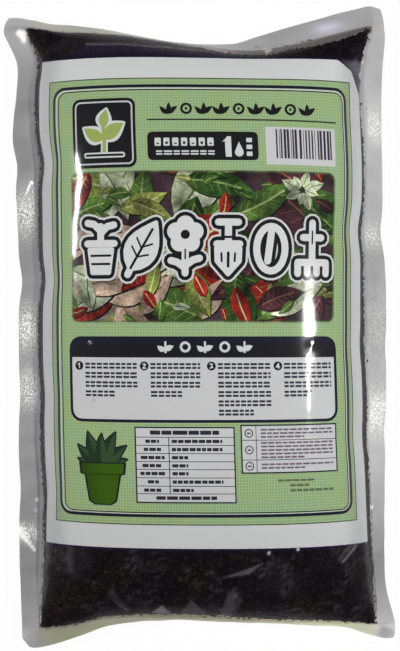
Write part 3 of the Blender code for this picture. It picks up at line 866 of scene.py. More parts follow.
# %% Picture of leaves
SHEET_EDGE = [(-75, -107), (75, -107), (75, 91.5), (69.6, 102.2), (62, 107), (-75, 107)]
ink(WHITE, SHEET_EDGE)
PICTURE = (-58.9, -9.9, 60.2, 56.7)
LEAF_TONES = (
    # dark half, light half, midrib: deep green, mid green, olive, variegated, red, purple, tan
    ((0.006, 0.022, 0.004), (0.030, 0.075, 0.012), (0.14, 0.20, 0.06)),
    ((0.020, 0.055, 0.008), (0.085, 0.160, 0.030), (0.26, 0.32, 0.12)),
    ((0.090, 0.110, 0.020), (0.220, 0.260, 0.060), (0.40, 0.42, 0.20)),
    ((0.200, 0.240, 0.130), (0.500, 0.520, 0.400), (0.06, 0.12, 0.03)),
    ((0.090, 0.004, 0.006), (0.300, 0.020, 0.012), (0.36, 0.33, 0.14)),
    ((0.022, 0.006, 0.010), (0.075, 0.025, 0.030), (0.20, 0.08, 0.06)),
    ((0.200, 0.130, 0.090), (0.420, 0.320, 0.240), (0.14, 0.09, 0.06)),
)
LEFT_TONES, MIDDLE_TONES, RIGHT_TONES = (2, 3, 3, 1, 6, 1, 4), (0, 1, 1, 4, 3, 0, 2), (5, 0, 5, 1, 4, 1, 0)


def lay_leaf(s, t, angle, length, width, bend, tone, shade):
    """One leaf: a dark shadow below and to the right, two halves that fade along it, a midrib, and on
    a big leaf four pairs of side veins."""
    steps = 10 if length > 20 else 7
    dark, light, rib_tone = (tuple(shade * c for c in colour) for colour in tone)
    left_half, right_half, rib = leaf(s, t, angle, length, width, bend, steps)
    whole = np.concatenate([left_half[steps - 1:], left_half[:1], right_half[:steps]])
    ink((0.008, 0.006, 0.007), whole + (0.25, -0.35) * np.array(min(length, 24) / 12))
    tip = tuple(rib[-1])
    ink(dark, left_half, light, (s, t), tip)
    ink(light, right_half, dark, (s, t), tip)
    draw(rib_tone, rib[1:-1:2], length * 0.010 + 0.10)
    if length > 20:
        vein = tuple(0.5 * (a + b) for a, b in zip(rib_tone, light))
        for k in range(1, steps - 3):
            side_way = (rib[k + 2] - rib[k]) * 0.75
            normal = np.array([-side_way[1], side_way[0]]) / np.linalg.norm(side_way)
            reach = width * 0.36 * math.sin(math.pi * ((k + 1) / (steps - 1)) ** 0.8)
            for side in (-1, 1):
                draw(vein, [rib[k], rib[k] + side_way * 0.6 + side * reach * normal], 0.13)


def heap_of_leaves(count, lengths, own):
    """Leaves at random places. Pale and tan ones are commoner on the left, purple ones on the right."""
    for _ in range(count):
        s, t = own.uniform(PICTURE[0] - 6, PICTURE[2] + 2), own.uniform(PICTURE[1] - 4, PICTURE[3] + 4)
        third = LEFT_TONES if s < -22 else MIDDLE_TONES if s < 18 else RIGHT_TONES
        length = own.uniform(*lengths)
        lay_leaf(s, t, own.uniform(0, 2 * np.pi), length, length * own.uniform(0.34, 0.5),
                 own.uniform(-0.4, 0.4), LEAF_TONES[own.choice(third)], own.uniform(0.75, 1.2))


own = np.random.default_rng(17)
ink((0.035, 0.020, 0.024), block(*PICTURE))
ink((0.34, 0.28, 0.21), block(-58.9, -9.9, -30, 14), (0.10, 0.07, 0.06), (-55, 0), (-28, 4))
heap_of_leaves(30, (28, 46), own)
PLACED_LEAVES = (
    # s, t, angle, length, width, bend, tone, shade
    (-64, 55, -0.35, 36, 13, 0.2, 2, 1.0), (-30, 60, -2.0, 30, 12, -0.2, 3, 0.9),
    (-62, 34, 0.35, 26, 10, 0.3, 1, 1.1), (-8, 52, -0.2, 32, 13, 0.25, 0, 1.3),
    (12, 36, 0.5, 34, 12, -0.2, 1, 0.9), (62, 30, 2.4, 30, 11, 0.2, 0, 1.2),
    (24, -8, 0.6, 34, 13, 0.2, 1, 1.0), (60, 2, 2.7, 24, 10, -0.2, 2, 0.8),
    (-58, -4, 0.5, 30, 13, 0.2, 3, 0.9), (-26, -6, 0.9, 22, 9, 0.2, 6, 1.0),
    (-44, 58, -1.1, 26, 11, 0.2, 3, 0.85), (-26, 34, 1.5, 24, 11, 0.2, 1, 1.0),
    (-36, 40, 0.3, 22, 9, -0.2, 2, 1.1), (-60, 14, -0.5, 24, 10, 0.2, 3, 1.0),
    (0, -8, 1.0, 22, 9, 0.2, 6, 0.9), (38, 22, -0.6, 24, 10, 0.2, 1, 0.8),
    (30, -6, 0.5, 28, 12, 0.2, 3, 1.0), (-54, 6, 0.1, 30, 13, 0.2, 6, 1.2),
)
for placed in PLACED_LEAVES:
    lay_leaf(*placed[:6], LEAF_TONES[placed[6]], placed[7])
heap_of_leaves(22, (13, 24), own)
heap_of_leaves(46, (5, 12), own)
ROSETTE, GOLDEN_TURN = (44, 48), 2.4
for k in range(9):
    turn = 0.3 + k * GOLDEN_TURN
    lay_leaf(ROSETTE[0] + 1.2 * math.cos(turn), ROSETTE[1] + 1.2 * math.sin(turn), turn,
             9.5 - 0.6 * k, 5.2 - 0.3 * k, 0.1, LEAF_TONES[3], 0.95 + 0.03 * k)
PICTURE_SHAPES = len(shapes)
print("shapes of sheet and picture", PICTURE_SHAPES)

# %% [markdown]
# ### The green field and its frame
#
# The field is printed as four strips round the picture, and white strips beside it cover the leaf tips
# that reach too far. That is simpler than cutting each leaf at the picture's edge. The frame's lines are
# rings made of strips and arcs for the same reason: what is printed inside them stays.

# %% Green field and frame lines round the picture
FIELD_SIDE, FIELD_BOTTOM, FIELD_TOP, PAPER_SIDE = 68.6, -96.3, 96.8, 74.9
s0, t0, s1, t1 = PICTURE
plates(
    (FIELD, -FIELD_SIDE, FIELD_BOTTOM, FIELD_SIDE, t0), (FIELD, -FIELD_SIDE, t1, FIELD_SIDE, FIELD_TOP),
    (FIELD, -FIELD_SIDE, t0, s0, t1), (FIELD, s1, t0, FIELD_SIDE, t1),
    (WHITE, -PAPER_SIDE, -60, -FIELD_SIDE, 88), (WHITE, FIELD_SIDE, -60, PAPER_SIDE, 88),
    (WHITE, -FIELD_SIDE, FIELD_TOP, 60, 104),
)


def hollow_ring(colour, outer, width, radius):
    """A frame line round what is printed already: four straight strips and four corner arcs."""
    s0, t0, s1, t1 = outer
    r, w = radius, width
    plates((colour, s0 + r, t0, s1 - r, t0 + w), (colour, s0 + r, t1 - w, s1 - r, t1),
           (colour, s0, t0 + r, s0 + w, t1 - r), (colour, s1 - w, t0 + r, s1, t1 - r))
    if r == 0:
        return
    turn = np.radians(np.linspace(0, 90, 9))
    centres = ((s1 - r, t1 - r, 0), (s0 + r, t1 - r, 90), (s0 + r, t0 + r, 180), (s1 - r, t0 + r, 270))
    for cs, ct, start in centres:
        a = turn + math.radians(start)
        rim_points = np.stack([np.cos(a), np.sin(a)], axis=1)
        ink(colour, np.concatenate([(cs, ct) + r * rim_points, ((cs, ct) + (r - w) * rim_points)[::-1]]))


hollow_ring(DARK, (-69.0, -96.7, 69.0, 97.2), 0.4, 0)
hollow_ring(NAVY, (-66.6, -93.3, 66.8, 94.1), 1.35, 5.8)
hollow_ring(PALE, (-65.2, -91.9, 65.4, 92.7), 0.8, 4.6)
hollow_ring(DARK, (-63.9, -91.5, 64.9, 92.0), 0.5, 4.2)

# %% [markdown]
# ### Blocks of the print
#
# Small type is grey from afar, because thin dark lines lie close together. So a run of words is drawn
# as a bar, or as a pair of thin bars. Rectangles with round corners carry them. Shapes are printed one
# over another, like sheets of cut paper: a dark block, then a smaller light one, is a frame.

# %% Bars for words
def words(colour, s0, s1, t, height, longest, own, lines=2, gap=0.7):
    """A row of bars from s0 to s1 with its middle at t. Each word is one bar or a pair of thin ones."""
    s = s0
    while s < s1 - 0.6:
        end = min(s + own.uniform(0.6, 1.0) * longest, s1)
        if lines == 1:
            ink(colour, block(s, t - height / 2, end, t + height / 2))
        else:
            bar = height * 0.37
            ink(colour, block(s, t + height / 2 - bar, end, t + height / 2))
            ink(colour, block(s, t - height / 2, end, t - height / 2 + bar))
        s = end + gap


# %% [markdown]
# ### Head of the print
#
# The head holds a badge with a sprig, a row of small leaves and rings, a bar with signs and a number,
# and a field of stripes. The stripes' widths come from a fixed seed and spell nothing.

# %% Badge, row of leaves, net bar and stripes
own = np.random.default_rng(8)
BADGE_LINE, SPRIG_GREEN = (0.50, 0.50, 0.53), (0.30, 0.37, 0.10)
plates((DARK, -56.6, 57.6, -28.0, 88.2, 3.4), (BADGE_LINE, -55.4, 59.0, -29.2, 86.9, 2.4),
       (DARK, -54.7, 59.7, -29.9, 86.2, 1.8))
SPRIG = ((-42.2, 70.0, math.radians(38), 11.5), (-42.2, 70.0, math.radians(150), 10.5),
         (-42.3, 75.0, math.radians(80), 8.5))
for grow, colour in ((0.75, WHITE), (0.0, SPRIG_GREEN)):
    draw(colour, [(-42.3, 63.5), (-42.0, 69), (-42.4, 76)], 0.8 + grow)
    for s, t, angle, length in SPRIG:
        print_leaf(colour, colour, grow, s, t, angle, length, length * 0.52 + 2 * grow, 0.2)
plates((WHITE, -51.5, 62.0, -33.0, 64.4, 1.1), (DARK, -50.8, 62.7, -33.7, 63.7, 0.4))

for k in range(9):
    s = -13.4 + k * 7.6
    if k % 3 == 1:
        for colour, radius in ((DARK, 2.6), (FIELD, 1.5), (DARK, 0.6)):
            ink(colour, disc(s, 83.2, radius))
    else:
        for turn, bend in ((0.75, 0.25), (2.4, 0.25), (1.57, 0)):
            print_leaf(DARK, DARK, 0, s, 80.7, turn, 5.4, 2.2, bend, 6)
plates((DARK, -23, 78.0, 61.1, 78.6, 0.3), (DARK, -23.1, 60.5, 24.9, 73.0, 2.2))
for k in range(7):
    s = -19.9 + k * 3.8
    plates((WHITE, s, 66.7, s + 2.7, 70.3, 0.5), (DARK, s + 0.8, 67.5, s + 1.9, 68.1 + 0.5 * (k % 2)))
words(WHITE, -19.4, 6.5, 63.8, 1.9, 3.6, own)
ink(WHITE, [(9.1, 68.4), (10.4, 69.0), (10.6, 62.0), (13.2, 62.0), (13.2, 70.9), (11.6, 70.9)])
ink(WHITE, disc(16.5, 64.0, 1.9))
ink(WHITE, [(14.9, 65.0), (16.5, 68.6), (18.1, 65.0)])
for k in range(3):
    ink(WHITE, block(19.7, 62.4 + k * 3.0, 22.2, 64.3 + k * 3.0))

ink(PANEL, block(28.2, 58.8, 60.0, 75.3))
WIDE_STRIPE, THIN_STRIPE = (0.035, 0.028, 0.045), (0.09, 0.075, 0.10)
s, last_stripe = 32.7, 58.3
while s < last_stripe:
    bar, space = own.choice((0.35, 0.7, 1.05)), own.choice((0.35, 0.7, 0.7, 1.05))
    ink(WIDE_STRIPE if bar > 0.5 else THIN_STRIPE, block(s, 61.6, min(s + bar, last_stripe + 0.5), 74.4))
    s += bar + space
print("shapes so far", len(shapes))

# %% [markdown]
# ### The big title
#
# Six big signs run across the picture, light grey with a black outline and a white one round that. Here
# they are tools and parts of a plant. Each sign is made of strokes, so the two outlines are the same
# strokes made wider, printed first.

# %% Six signs
def pot_sign():
    """Each sign gives its solid polygons and its lines, round a middle of 0, 0. This one is a pot."""
    body = np.array([(-5.2, -1.0), (5.2, -1.0), (3.8, -11.0), (-3.8, -11.0)])
    lines = [[(-6.2, 1.6), (6.2, 1.6)], [(0, 2), (0, 9)]]
    lines += [[(0, 6), (3, 9), (6, 9.6)], [(0, 7), (-3, 10), (-6, 10.6)]]
    return [body], lines


def leaf_sign():
    left_half, right_half, rib = leaf(-5.5, -9.5, 1.05, 23, 13)
    return [left_half, right_half], [[(-6.5, -11.8), (-5.2, -9.2)]]


def flower_sign():
    petals = [disc(4.3 * math.sin(a), 5.4 + 4.3 * math.cos(a), 2.9) for a in np.arange(5) * 2 * np.pi / 5]
    lines = [[(0, 1), (0, -11.2)], [(0, -8), (3.5, -5.5), (6.2, -4.8)], [(0, -9), (-3.5, -6.5), (-6.2, -5.8)]]
    return petals, lines


def spade_sign():
    blade = np.array([(-5.2, -0.5), (5.2, -0.5), (5.0, -6.0), (0, -11.6), (-5.0, -6.0)])
    return [blade], [[(0, 0), (0, 10.6)], [(-4.4, 10.8), (4.4, 10.8)], [(-5.0, 1.4), (5.0, 1.4)]]


def ring_sign():
    turn = np.linspace(0, 2 * np.pi, 25)
    return [], [np.stack([6.3 * np.cos(turn), -0.5 + 9.6 * np.sin(turn)], axis=1), [(0.4, 8.6), (-1.4, -5.8)]]


def rake_sign():
    tines = [[(k, -6.6), (k, -11.0)] for k in (-6.6, -2.2, 2.2, 6.6)]
    return [], [[(0, 11.0), (0, -6.0)], [(-6.6, -6.2), (6.6, -6.2)], [(-4.2, 4.6), (4.2, 4.6)], *tines]


def sign_place(k):
    """The middle of the sign number k: even steps, on a line that falls a little to the right."""
    return np.array((-44.6 + k * 18.7, 23.2 - 0.06 * k))


SIGNS = (pot_sign, leaf_sign, flower_sign, spade_sign, ring_sign, rake_sign)
for half_width, colour in ((4.1, WHITE), (3.2, DARK), (1.55, TITLE)):
    for k, sign in enumerate(SIGNS):
        centre = sign_place(k)
        solid, lines = sign()
        for part in solid:
            ink(colour, np.asarray(part) + centre)
            draw(colour, closed(np.asarray(part)) + centre, half_width - 0.6)
        for line in lines:
            draw(colour, np.asarray(line, float) + centre, half_width)
INNER_LINES = (
    # sign, path, half width
    (0, [(-4.4, -3.6), (4.4, -3.6)], 0.5), (0, [(-4.0, -7.2), (4.0, -7.2)], 0.5),
    (1, [(-5.2, -9.0), (4.4, 7.6)], 0.55), (1, [(-2.4, -4.0), (-4.6, 0.4)], 0.4),
    (1, [(-0.4, -0.6), (-2.4, 4.0)], 0.4), (1, [(-2.2, -4.2), (2.6, -3.4)], 0.4),
    (1, [(0, 0.0), (4.4, 1.2)], 0.4), (2, [(0, -1.0), (0, -5.0)], 0.35),
    (3, [(0, -2.4), (0, -8.2)], 0.6), (3, [(-3.0, -2.6), (-2.8, -6.0)], 0.45),
    (3, [(3.0, -2.6), (2.8, -6.0)], 0.45), (3, [(-2.0, 4.4), (2.0, 4.4)], 0.5),
    (5, [(0, 7.4), (0, 2.0)], 0.35),
)
for k, path, half_width in INNER_LINES:
    draw(DARK, np.array(path) + sign_place(k), half_width)
ink(DARK, disc(-7.2, 28.5, 2.0))
print("shapes with the title", len(shapes))

# %% [markdown]
# ### Panels with steps and facts
#
# The lower half of the print holds a panel with four numbered steps, a drawing of a potted plant, a
# table of facts and a box of notes. They are blocks, lines and bars again, at places read off the
# photo. The fixed seed gives each run of words its own length, so that no two lines look copied.

# %% Panel of four steps
plates((NAVY, -59.6, -52.4, 60.5, -15.3, 5.2), (PANEL, -58.3, -51.1, 59.2, -24.4, 4.0),
       (PANEL, -58.3, -34.0, 59.2, -24.4), (DARK, -58.0, -24.4, 59.0, -18.5))
for k in range(5):
    s, t = -15.9 + k * 8.6, -19.8
    if k % 2:
        ink(WHITE, disc(s, t, 2.4))
        ink(DARK, disc(s, t, 1.3))
    else:
        for turn in (0.5, 2.6):
            print_leaf(WHITE, WHITE, 0, s, t - 1.6, turn, 4.2, 2.5, 0.3, 6)
        ink(WHITE, block(s - 0.45, t - 2.6, s + 0.45, t + 2.4))
NUMERALS = {
    1: [[(-0.55, 0.55), (0.1, 1.0), (0.1, -1.0)]],
    2: [[(-0.6, 0.55), (0.0, 1.0), (0.6, 0.5), (-0.6, -0.95), (0.65, -0.95)]],
    3: [[(-0.6, 0.9), (0.5, 0.75), (-0.05, 0.05), (0.6, -0.55), (-0.6, -0.9)]],
    4: [[(0.3, -1.05), (0.3, 1.0), (-0.7, -0.4), (0.8, -0.4)]],
}
FIRST_ROW, ROW_STEP = -28.0, 4.0
# middle of the disc, start and end of the words, rows
COLUMNS = ((-54.9, -52.0, -28.4, 4), (-25.3, -22.6, -0.9, 4), (3.9, 6.7, 29.7, 6), (33.0, 35.7, 57.6, 4))
for number, (middle, s0, s1, rows) in enumerate(COLUMNS, start=1):
    ink(DARK, disc(middle, FIRST_ROW, 1.95))
    for line in NUMERALS[number]:
        draw(WHITE, line + np.array([middle, FIRST_ROW]), 0.24)
    for row in range(rows):
        end = s1 if row < rows - 1 else s0 + (s1 - s0) * own.uniform(0.4, 0.75)
        words(TEXT, s0, end, FIRST_ROW - ROW_STEP * row, 2.5, 2.9, own, gap=0.5)
print("shapes with the steps", len(shapes))

# %% [markdown]
# ### A drawing of a plant
#
# The drawing is flat: dark outlines, two greens for the blades, and a pot that fades to dark at its
# left. The outline is the same blades, grown a little and printed first.

# %% Potted plant
POT_GREEN, POT_SHADE = (0.036, 0.098, 0.002), (0.018, 0.05, 0.002)
BLADES = ((160, 12), (20, 12), (138, 15), (42, 15), (112, 17), (68, 17), (90, 15))  # degrees, length
for grow, first, second in ((0.55, DARK, DARK), (0.0, (0.012, 0.030, 0.014), (0.030, 0.065, 0.026))):
    for angle, length in BLADES:
        print_leaf(first, second, grow, -45.2, -72.5, math.radians(angle), length, length * 0.36, 0.15)
pot = np.array([(-55.6, -70.4), (-34.9, -70.4), (-35.4, -74.6), (-37.2, -75.0), (-39.3, -86.4),
                (-41.5, -87.9), (-49.0, -87.9), (-51.3, -86.4), (-53.2, -75.0), (-55.1, -74.6)])
draw(DARK, closed(pot), 0.55)
ink(DARK, pot)
ink(POT_GREEN, pot * (0.955, 1) + (-45.2 * 0.045, 0), POT_SHADE, (-45, -80), (-56, -80))
ink(POT_SHADE, block(-53.0, -75.4, -37.4, -74.7))
print("shapes with the plant", len(shapes))

# %% Table of facts and box of notes
plates((NAVY, -30.3, -87.1, 13.3, -54.1), (PANEL, -29.7, -86.5, 12.7, -54.7))
ROWS = (-58.6, -62.1, -65.6, -69.1, -72.5, -76.1, -79.7, -83.0)
for t in ROWS:
    ink(NAVY, block(-29.7, t - 0.15, 12.7, t + 0.15))
ink(NAVY, block(-15.6, -83.0, -15.2, -58.6))
words(TEXT, -23.5, 6.5, -56.6, 1.8, 7.0, own, lines=1, gap=0.5)
words(TEXT, -21.5, 4.8, -84.8, 1.5, 5.0, own, lines=1, gap=0.5)
for k, t in enumerate(ROWS[:-1]):
    wide = own.uniform(2.0, 6.0)
    words(TEXT, -22.6 - wide, -22.6 + wide, t - 1.75, 1.4, 3.0, own, lines=1, gap=0.4)
    words(TEXT, -14.2, -14.2 + own.choice((2.0, 7.0, 9.0, 22.0)), t - 1.75, 1.4, 3.0, own, lines=1, gap=0.4)

NOTE_TEXT, FOOT_TEXT = (0.12, 0.10, 0.13), (0.10, 0.13, 0.08)
plates((NAVY, 15.8, -74.3, 59.5, -53.2), (PANEL, 16.4, -73.7, 58.9, -53.8), (NAVY, 16.4, -60.05, 58.9, -59.75),
       (NAVY, 16.4, -68.55, 58.9, -68.25), (NAVY, 22.4, -73.7, 22.7, -53.8))
for t, rows in ((-56.9, 3), (-64.1, 5), (-71.1, 2)):
    ink(TEXT, disc(19.4, t, 1.9))
    ink(PANEL, disc(19.4, t, 1.45))
    ink(TEXT, block(18.6, t - 0.3, 20.2, t + 0.3))
    for row in range(rows):
        end = 57.4 if row < rows - 1 else 44
        words(NOTE_TEXT, 24.6, end, t + (rows - 1) * 0.75 - row * 1.55, 0.75, 3.4, own, 1, 0.45)
for t, s0, s1 in ((-77.4, 31.5, 48.5), (-79.6, 37.0, 46.0), (-81.8, 37.0, 57.0)):
    words(FOOT_TEXT, s0, s1, t, 1.0, 3.4, own, lines=1, gap=0.45)
print("shapes", len(shapes))


# %% [markdown]
# ### From shapes to a mesh
#
# Print could be a stack of thin layers, but layers this close would flicker through one another. So
# the sheet is one mesh, cut along every outline. A constrained Delaunay triangulation does the cutting.
# It runs twice: the first run shows which shapes are hidden under others, and the second leaves them
# out, which halves the number of triangles.

# %% Cut the sheet into its inks
def cut_sheet(kept, spacing=2.2):
    """One flat mesh of the sheet: each kept shape's outline is an edge, and each triangle takes the ink
    of the last shape printed there. A loose grid of points between the outlines lets it bend."""
    s, t = np.meshgrid(np.arange(-74.2, 74.5, spacing), np.arange(-106.2, 106.5, spacing), indexing="ij")
    keep = ((s + t < 169) & (s < 74.6)).ravel()
    grid = np.stack([s.ravel(), t.ravel()], axis=1)[keep]
    outlines = [shapes[k][0] for k in kept]
    points = np.concatenate(outlines + [grid])
    starts = np.concatenate([[0], np.cumsum([len(outline) for outline in outlines])])
    faces = [list(range(a, b)) for a, b in zip(starts, starts[1:])]
    cut_places, _, triangles, _, _, sources = delaunay_2d_cdt(
        [tuple(p) for p in points], [], faces, 1, 1e-5, True
    )
    last = np.array([max(source, default=-1) for source in sources])
    base = np.array([0 in source for source in sources])
    keep = base & (last >= 0)
    return np.array(cut_places), np.array(triangles)[keep], kept[last[keep]]


LEAST_AREA = 0.02  # square millimetres that a shape has to show
kept_shapes = np.arange(len(shapes))
for turn in ("all shapes", "shapes that can be seen"):
    flat_places, triangles, last_shape = cut_sheet(kept_shapes)
    corner_places = flat_places[triangles]
    side, other = (corner_places[:, k] - corner_places[:, 0] for k in (1, 2))
    areas = 0.5 * np.abs(side[:, 0] * other[:, 1] - side[:, 1] * other[:, 0])
    print(turn, len(kept_shapes), "shapes,", len(triangles), "triangles")
    kept_shapes = np.flatnonzero(np.bincount(last_shape, areas, len(shapes)) > LEAST_AREA)
first_ink, end_ink, start, end = (
    np.array([shape[k] for shape in shapes], float)[last_shape] for k in (1, 2, 3, 4)
)
way = end - start
share = ((corner_places - start[:, None]) * way[:, None]).sum(-1) / (way**2).sum(-1)[:, None]
share = np.clip(share, 0, 1)[..., None]
ink_values = first_ink[:, None] * (1 - share) + end_ink[:, None] * share
# painted shade: the print is darker towards the bottom of the sheet
ink_values *= 1 - 0.11 * smooth_step(-55, -107, corner_places[..., 1:])
on_field = np.all(first_ink == FIELD, axis=1).astype(np.float32)
in_picture = ((last_shape > 0) & (last_shape < PICTURE_SHAPES)).astype(np.float32)


# %% [markdown]
# ### Paper and print
#
# The mesh carries the inks. The material adds what is too fine to cut: a screen of light lines on the
# green, soft light and dark patches in the picture, a faded edge round it, and the paper's fibres. All
# of it depends only on the place on the sheet, so the print keeps still when the sheet bends.

# %% Paper material
SHADE_TONE, SCREEN_TONE = (0.060, 0.075, 0.035, 1), (0.40, 0.52, 0.31, 1)
COOL, WARM = (0.9, 1.0, 1.25, 1), (1.12, 1.0, 0.72, 1)
UV_UNIT, SCREEN_PITCH, PICTURE_CORNER = 250, 1.27, 4.0


def edge_distance(tree, uv):
    """How far a place on the sheet lies outside the picture's rounded edge, in the UV map's unit."""
    s0, t0, s1, t1 = (value / UV_UNIT for value in PICTURE)
    corner = PICTURE_CORNER / UV_UNIT
    middle = ((s0 + s1) / 2 + 0.5, (t0 + t1) / 2 + 0.5, 0)
    straight = ((s1 - s0) / 2 - corner, (t1 - t0) / 2 - corner, 0)
    away = tree.vector("ABSOLUTE", tree.vector("SUBTRACT", uv, middle))
    past = tree.vector("MAXIMUM", tree.vector("SUBTRACT", away, straight), (0, 0, 0))
    return tree.maths("SUBTRACT", tree.vector("LENGTH", past), corner)


def paper_material():
    """Ink from the mesh, a fine screen on the green field, mottling in the picture, paper fibre."""
    material, tree = make_material("printed_sheet")
    colour, pictured = tree.attribute("ink", "Color"), tree.attribute("picture")
    uv = tree.add("UVMap", {}, uv_map="print")
    ways = tree.add("SeparateXYZ", {0: uv}).node.outputs
    turns = UV_UNIT / SCREEN_PITCH * 2 * math.pi
    lines = [tree.maths("COSINE", tree.maths("MULTIPLY", ways[axis], turns)) for axis in ("X", "Y")]
    screen = tree.span(tree.maths("MAXIMUM", *lines), 0.3, 1.0, 0.0, 0.6)
    edge_shade, edge_fade = (
        tree.maths("MULTIPLY", tree.span(edge_distance(tree, uv), low / UV_UNIT, high / UV_UNIT, 0.0, most,
                                         interpolation_type="SMOOTHSTEP"), pictured)
        for low, high, most in ((-2.2, -0.7, 0.75), (-1.3, 0.0, 1.0))
    )
    colour = tree.mix(edge_fade, tree.mix(edge_shade, colour, SHADE_TONE), (*FIELD, 1))
    on_green = tree.maths("MAXIMUM", tree.attribute("screen"), edge_fade)
    colour = tree.mix(tree.maths("MULTIPLY", screen, on_green), colour, SCREEN_TONE)
    drift = tree.mix(tree.span(tree.noise(uv, 18, 2), 0.35, 0.65), COOL, WARM)
    colour = tree.mix(tree.maths("MULTIPLY", on_green, 0.35), colour, drift, blend_type="MULTIPLY")
    mottle = tree.span(tree.noise(uv, 160, 4), 0.3, 0.7, 0.65, 1.35)
    sunlit = tree.span(tree.noise(uv, 22, 3), 0.35, 0.68, 0.35, 1.7)
    spotted = tree.scaled(colour, tree.maths("MULTIPLY", mottle, sunlit))
    colour = tree.mix(tree.maths("SUBTRACT", pictured, edge_fade, clamp=True), colour, spotted)
    paper = tree.principled(colour, 0.6, 0.06, tree.bump(tree.noise(uv, 700, 3), 0.15, 0.0001))
    tree.add("OutputMaterial", {0: paper})
    return material


PRINTED_SHEET = paper_material()
SHEET_DEPTH = 0.1
sheet_points = sheet_point(flat_places[:, 0], flat_places[:, 1], -SHEET_DEPTH)
sheet = make_piece("paper_sheet", sheet_points, triangles, PRINTED_SHEET)
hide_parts("label_sheet")
paint(sheet, "ink", ink_values, "CORNER")
paint(sheet, "screen", np.repeat(on_field, 3), "CORNER")
paint(sheet, "picture", np.repeat(in_picture, 3), "CORNER")
uv_layer = sheet.data.uv_layers.new(name="print")
uv_layer.data.foreach_set("uv", (corner_places / UV_UNIT + 0.5).astype(np.float32).ravel())

# %% [markdown]
# ## Soil
#
# Moist potting soil is nearly black: peat crumbs, bark and a few fibres, pressed against the film. Its
# front is one surface under the film with crumbs of three sizes in its relief. Loose crumbs, each a
# small lumpy solid, break up the rim and lie in the gap before the seal.

# %% Soil material
SOIL_HUES = (
    (0.36, (0.0080, 0.0040, 0.0095)), (0.46, (0.0058, 0.0028, 0.0040)),
    (0.56, (0.0100, 0.0048, 0.0056)), (0.66, (0.0100, 0.0080, 0.0042)),
)
CRUMB_TONES = tuple((at, (tone,) * 3) for at, tone in ((0.0, 0.08), (0.85, 0.27), (0.95, 0.31), (1.0, 0.46)))
SHADOW_VIOLET = (0.010, 0.007, 0.030, 1)


def soil_material():
    """Crumbs as Voronoi cells, each with its own darkness and a painted shade towards its edge, in clouds of
    brown, violet and olive.
    """
    material, tree = make_material("potting_soil")
    place = tree.add("TexCoord", {}, "Object")
    crumbs = tree.add("TexVoronoi", {"Vector": place, "Scale": 560}, "Distance")
    colour = tree.ramp(tree.noise(place, 60, 4), SOIL_HUES)
    crumb_number = tree.add("SeparateXYZ", {0: crumbs.node.outputs["Color"]})
    # painted shade: each crumb is lighter in its middle and darker towards the gaps
    painted_crumb_shade = tree.span(crumbs, 0.1, 0.65, 5.6, 1.6)
    fine = tree.span(tree.noise(place, 800, 3), 0.35, 0.7, 0.35, 2.1)
    for amount in (tree.ramp(crumb_number, CRUMB_TONES), painted_crumb_shade, fine):
        colour = tree.scaled(colour, amount)
    colour = tree.mix(tree.attribute("shade"), colour, SHADOW_VIOLET)
    earth = tree.principled(colour, 0.9, 0.05, tree.bump(crumbs, 0.7, 0.0012, invert=True))
    tree.add("OutputMaterial", {0: earth})
    return material


POTTING_SOIL = soil_material()


# %% [markdown]
# ### The soil's relief
#
# Crumbs that press against the film make a relief of domes. Thousands of separate crumbs could do it,
# but a height for each point of one grid looks the same. The grid is coarse under the sheet.

# %% Soil surface
BIG_CRUMB, SMALL_CRUMB, DEPTH_UNDER_SHEET = 6.5, 3.1, 0.75


def soil_lines(fine, low, high, first, last, coarse):
    """Stations that are fine outside low and high, and coarse between them, under the sheet."""
    end = np.linspace(high, last, int((last - high) / fine))
    return np.concatenate([np.arange(first, low, fine), np.arange(low, high, coarse), end])


def domes(x, y, size, seed):
    """Crumbs side by side: each cell of a grid of a size holds one dome at a random place, and the
    highest of the nine domes nearby is the height."""
    table = np.random.default_rng(seed).uniform(size=(61, 61, 3))
    column, row = np.floor(x / size).astype(int), np.floor(y / size).astype(int)
    height = np.zeros(x.shape)
    for i in (-1, 0, 1):
        for j in (-1, 0, 1):
            own = table[(column + i) % 61, (row + j) % 61]
            away = np.hypot(x / size - column - i - own[..., 0], y / size - row - j - own[..., 1])
            radius = 0.55 + 0.4 * own[..., 2]
            height = np.maximum(height, np.sqrt(np.clip(radius**2 - away**2, 0, None)))
    return height


def soil_front(a, b):
    """Soil under the film, out to a short way before the seal, lowered by crumbs of two sizes."""
    u, v = a * (1 - 0.3 / HALF_WIDTH), b * (1 - 0.3 / HALF_LENGTH)
    x, y, _ = web_plan(u, v)
    points = front_point(x, y)
    bent_x, bent_y = x + 1.5 * waves(x, y, 16, 6, 34), y + 1.5 * waves(x, y, 16, 6, 35)
    big, small = domes(bent_x, bent_y, BIG_CRUMB, 31), domes(bent_x, bent_y, SMALL_CRUMB, 32)
    crumbs = 0.7 * (1 - big) + 0.3 * (1 - small)
    under_sheet = (np.abs(a) < SHEET_SHARE + 0.004) & (np.abs(y) < SHEET_LENGTH / 2)
    near_rim = smooth_step(0.1, 3, np.minimum.reduce(distances(x, y)))
    depth = np.where(under_sheet, DEPTH_UNDER_SHEET, 0.1 + near_rim * (0.1 + crumbs))
    return lift_off(points, -np.maximum(depth, 0.05)), x, y


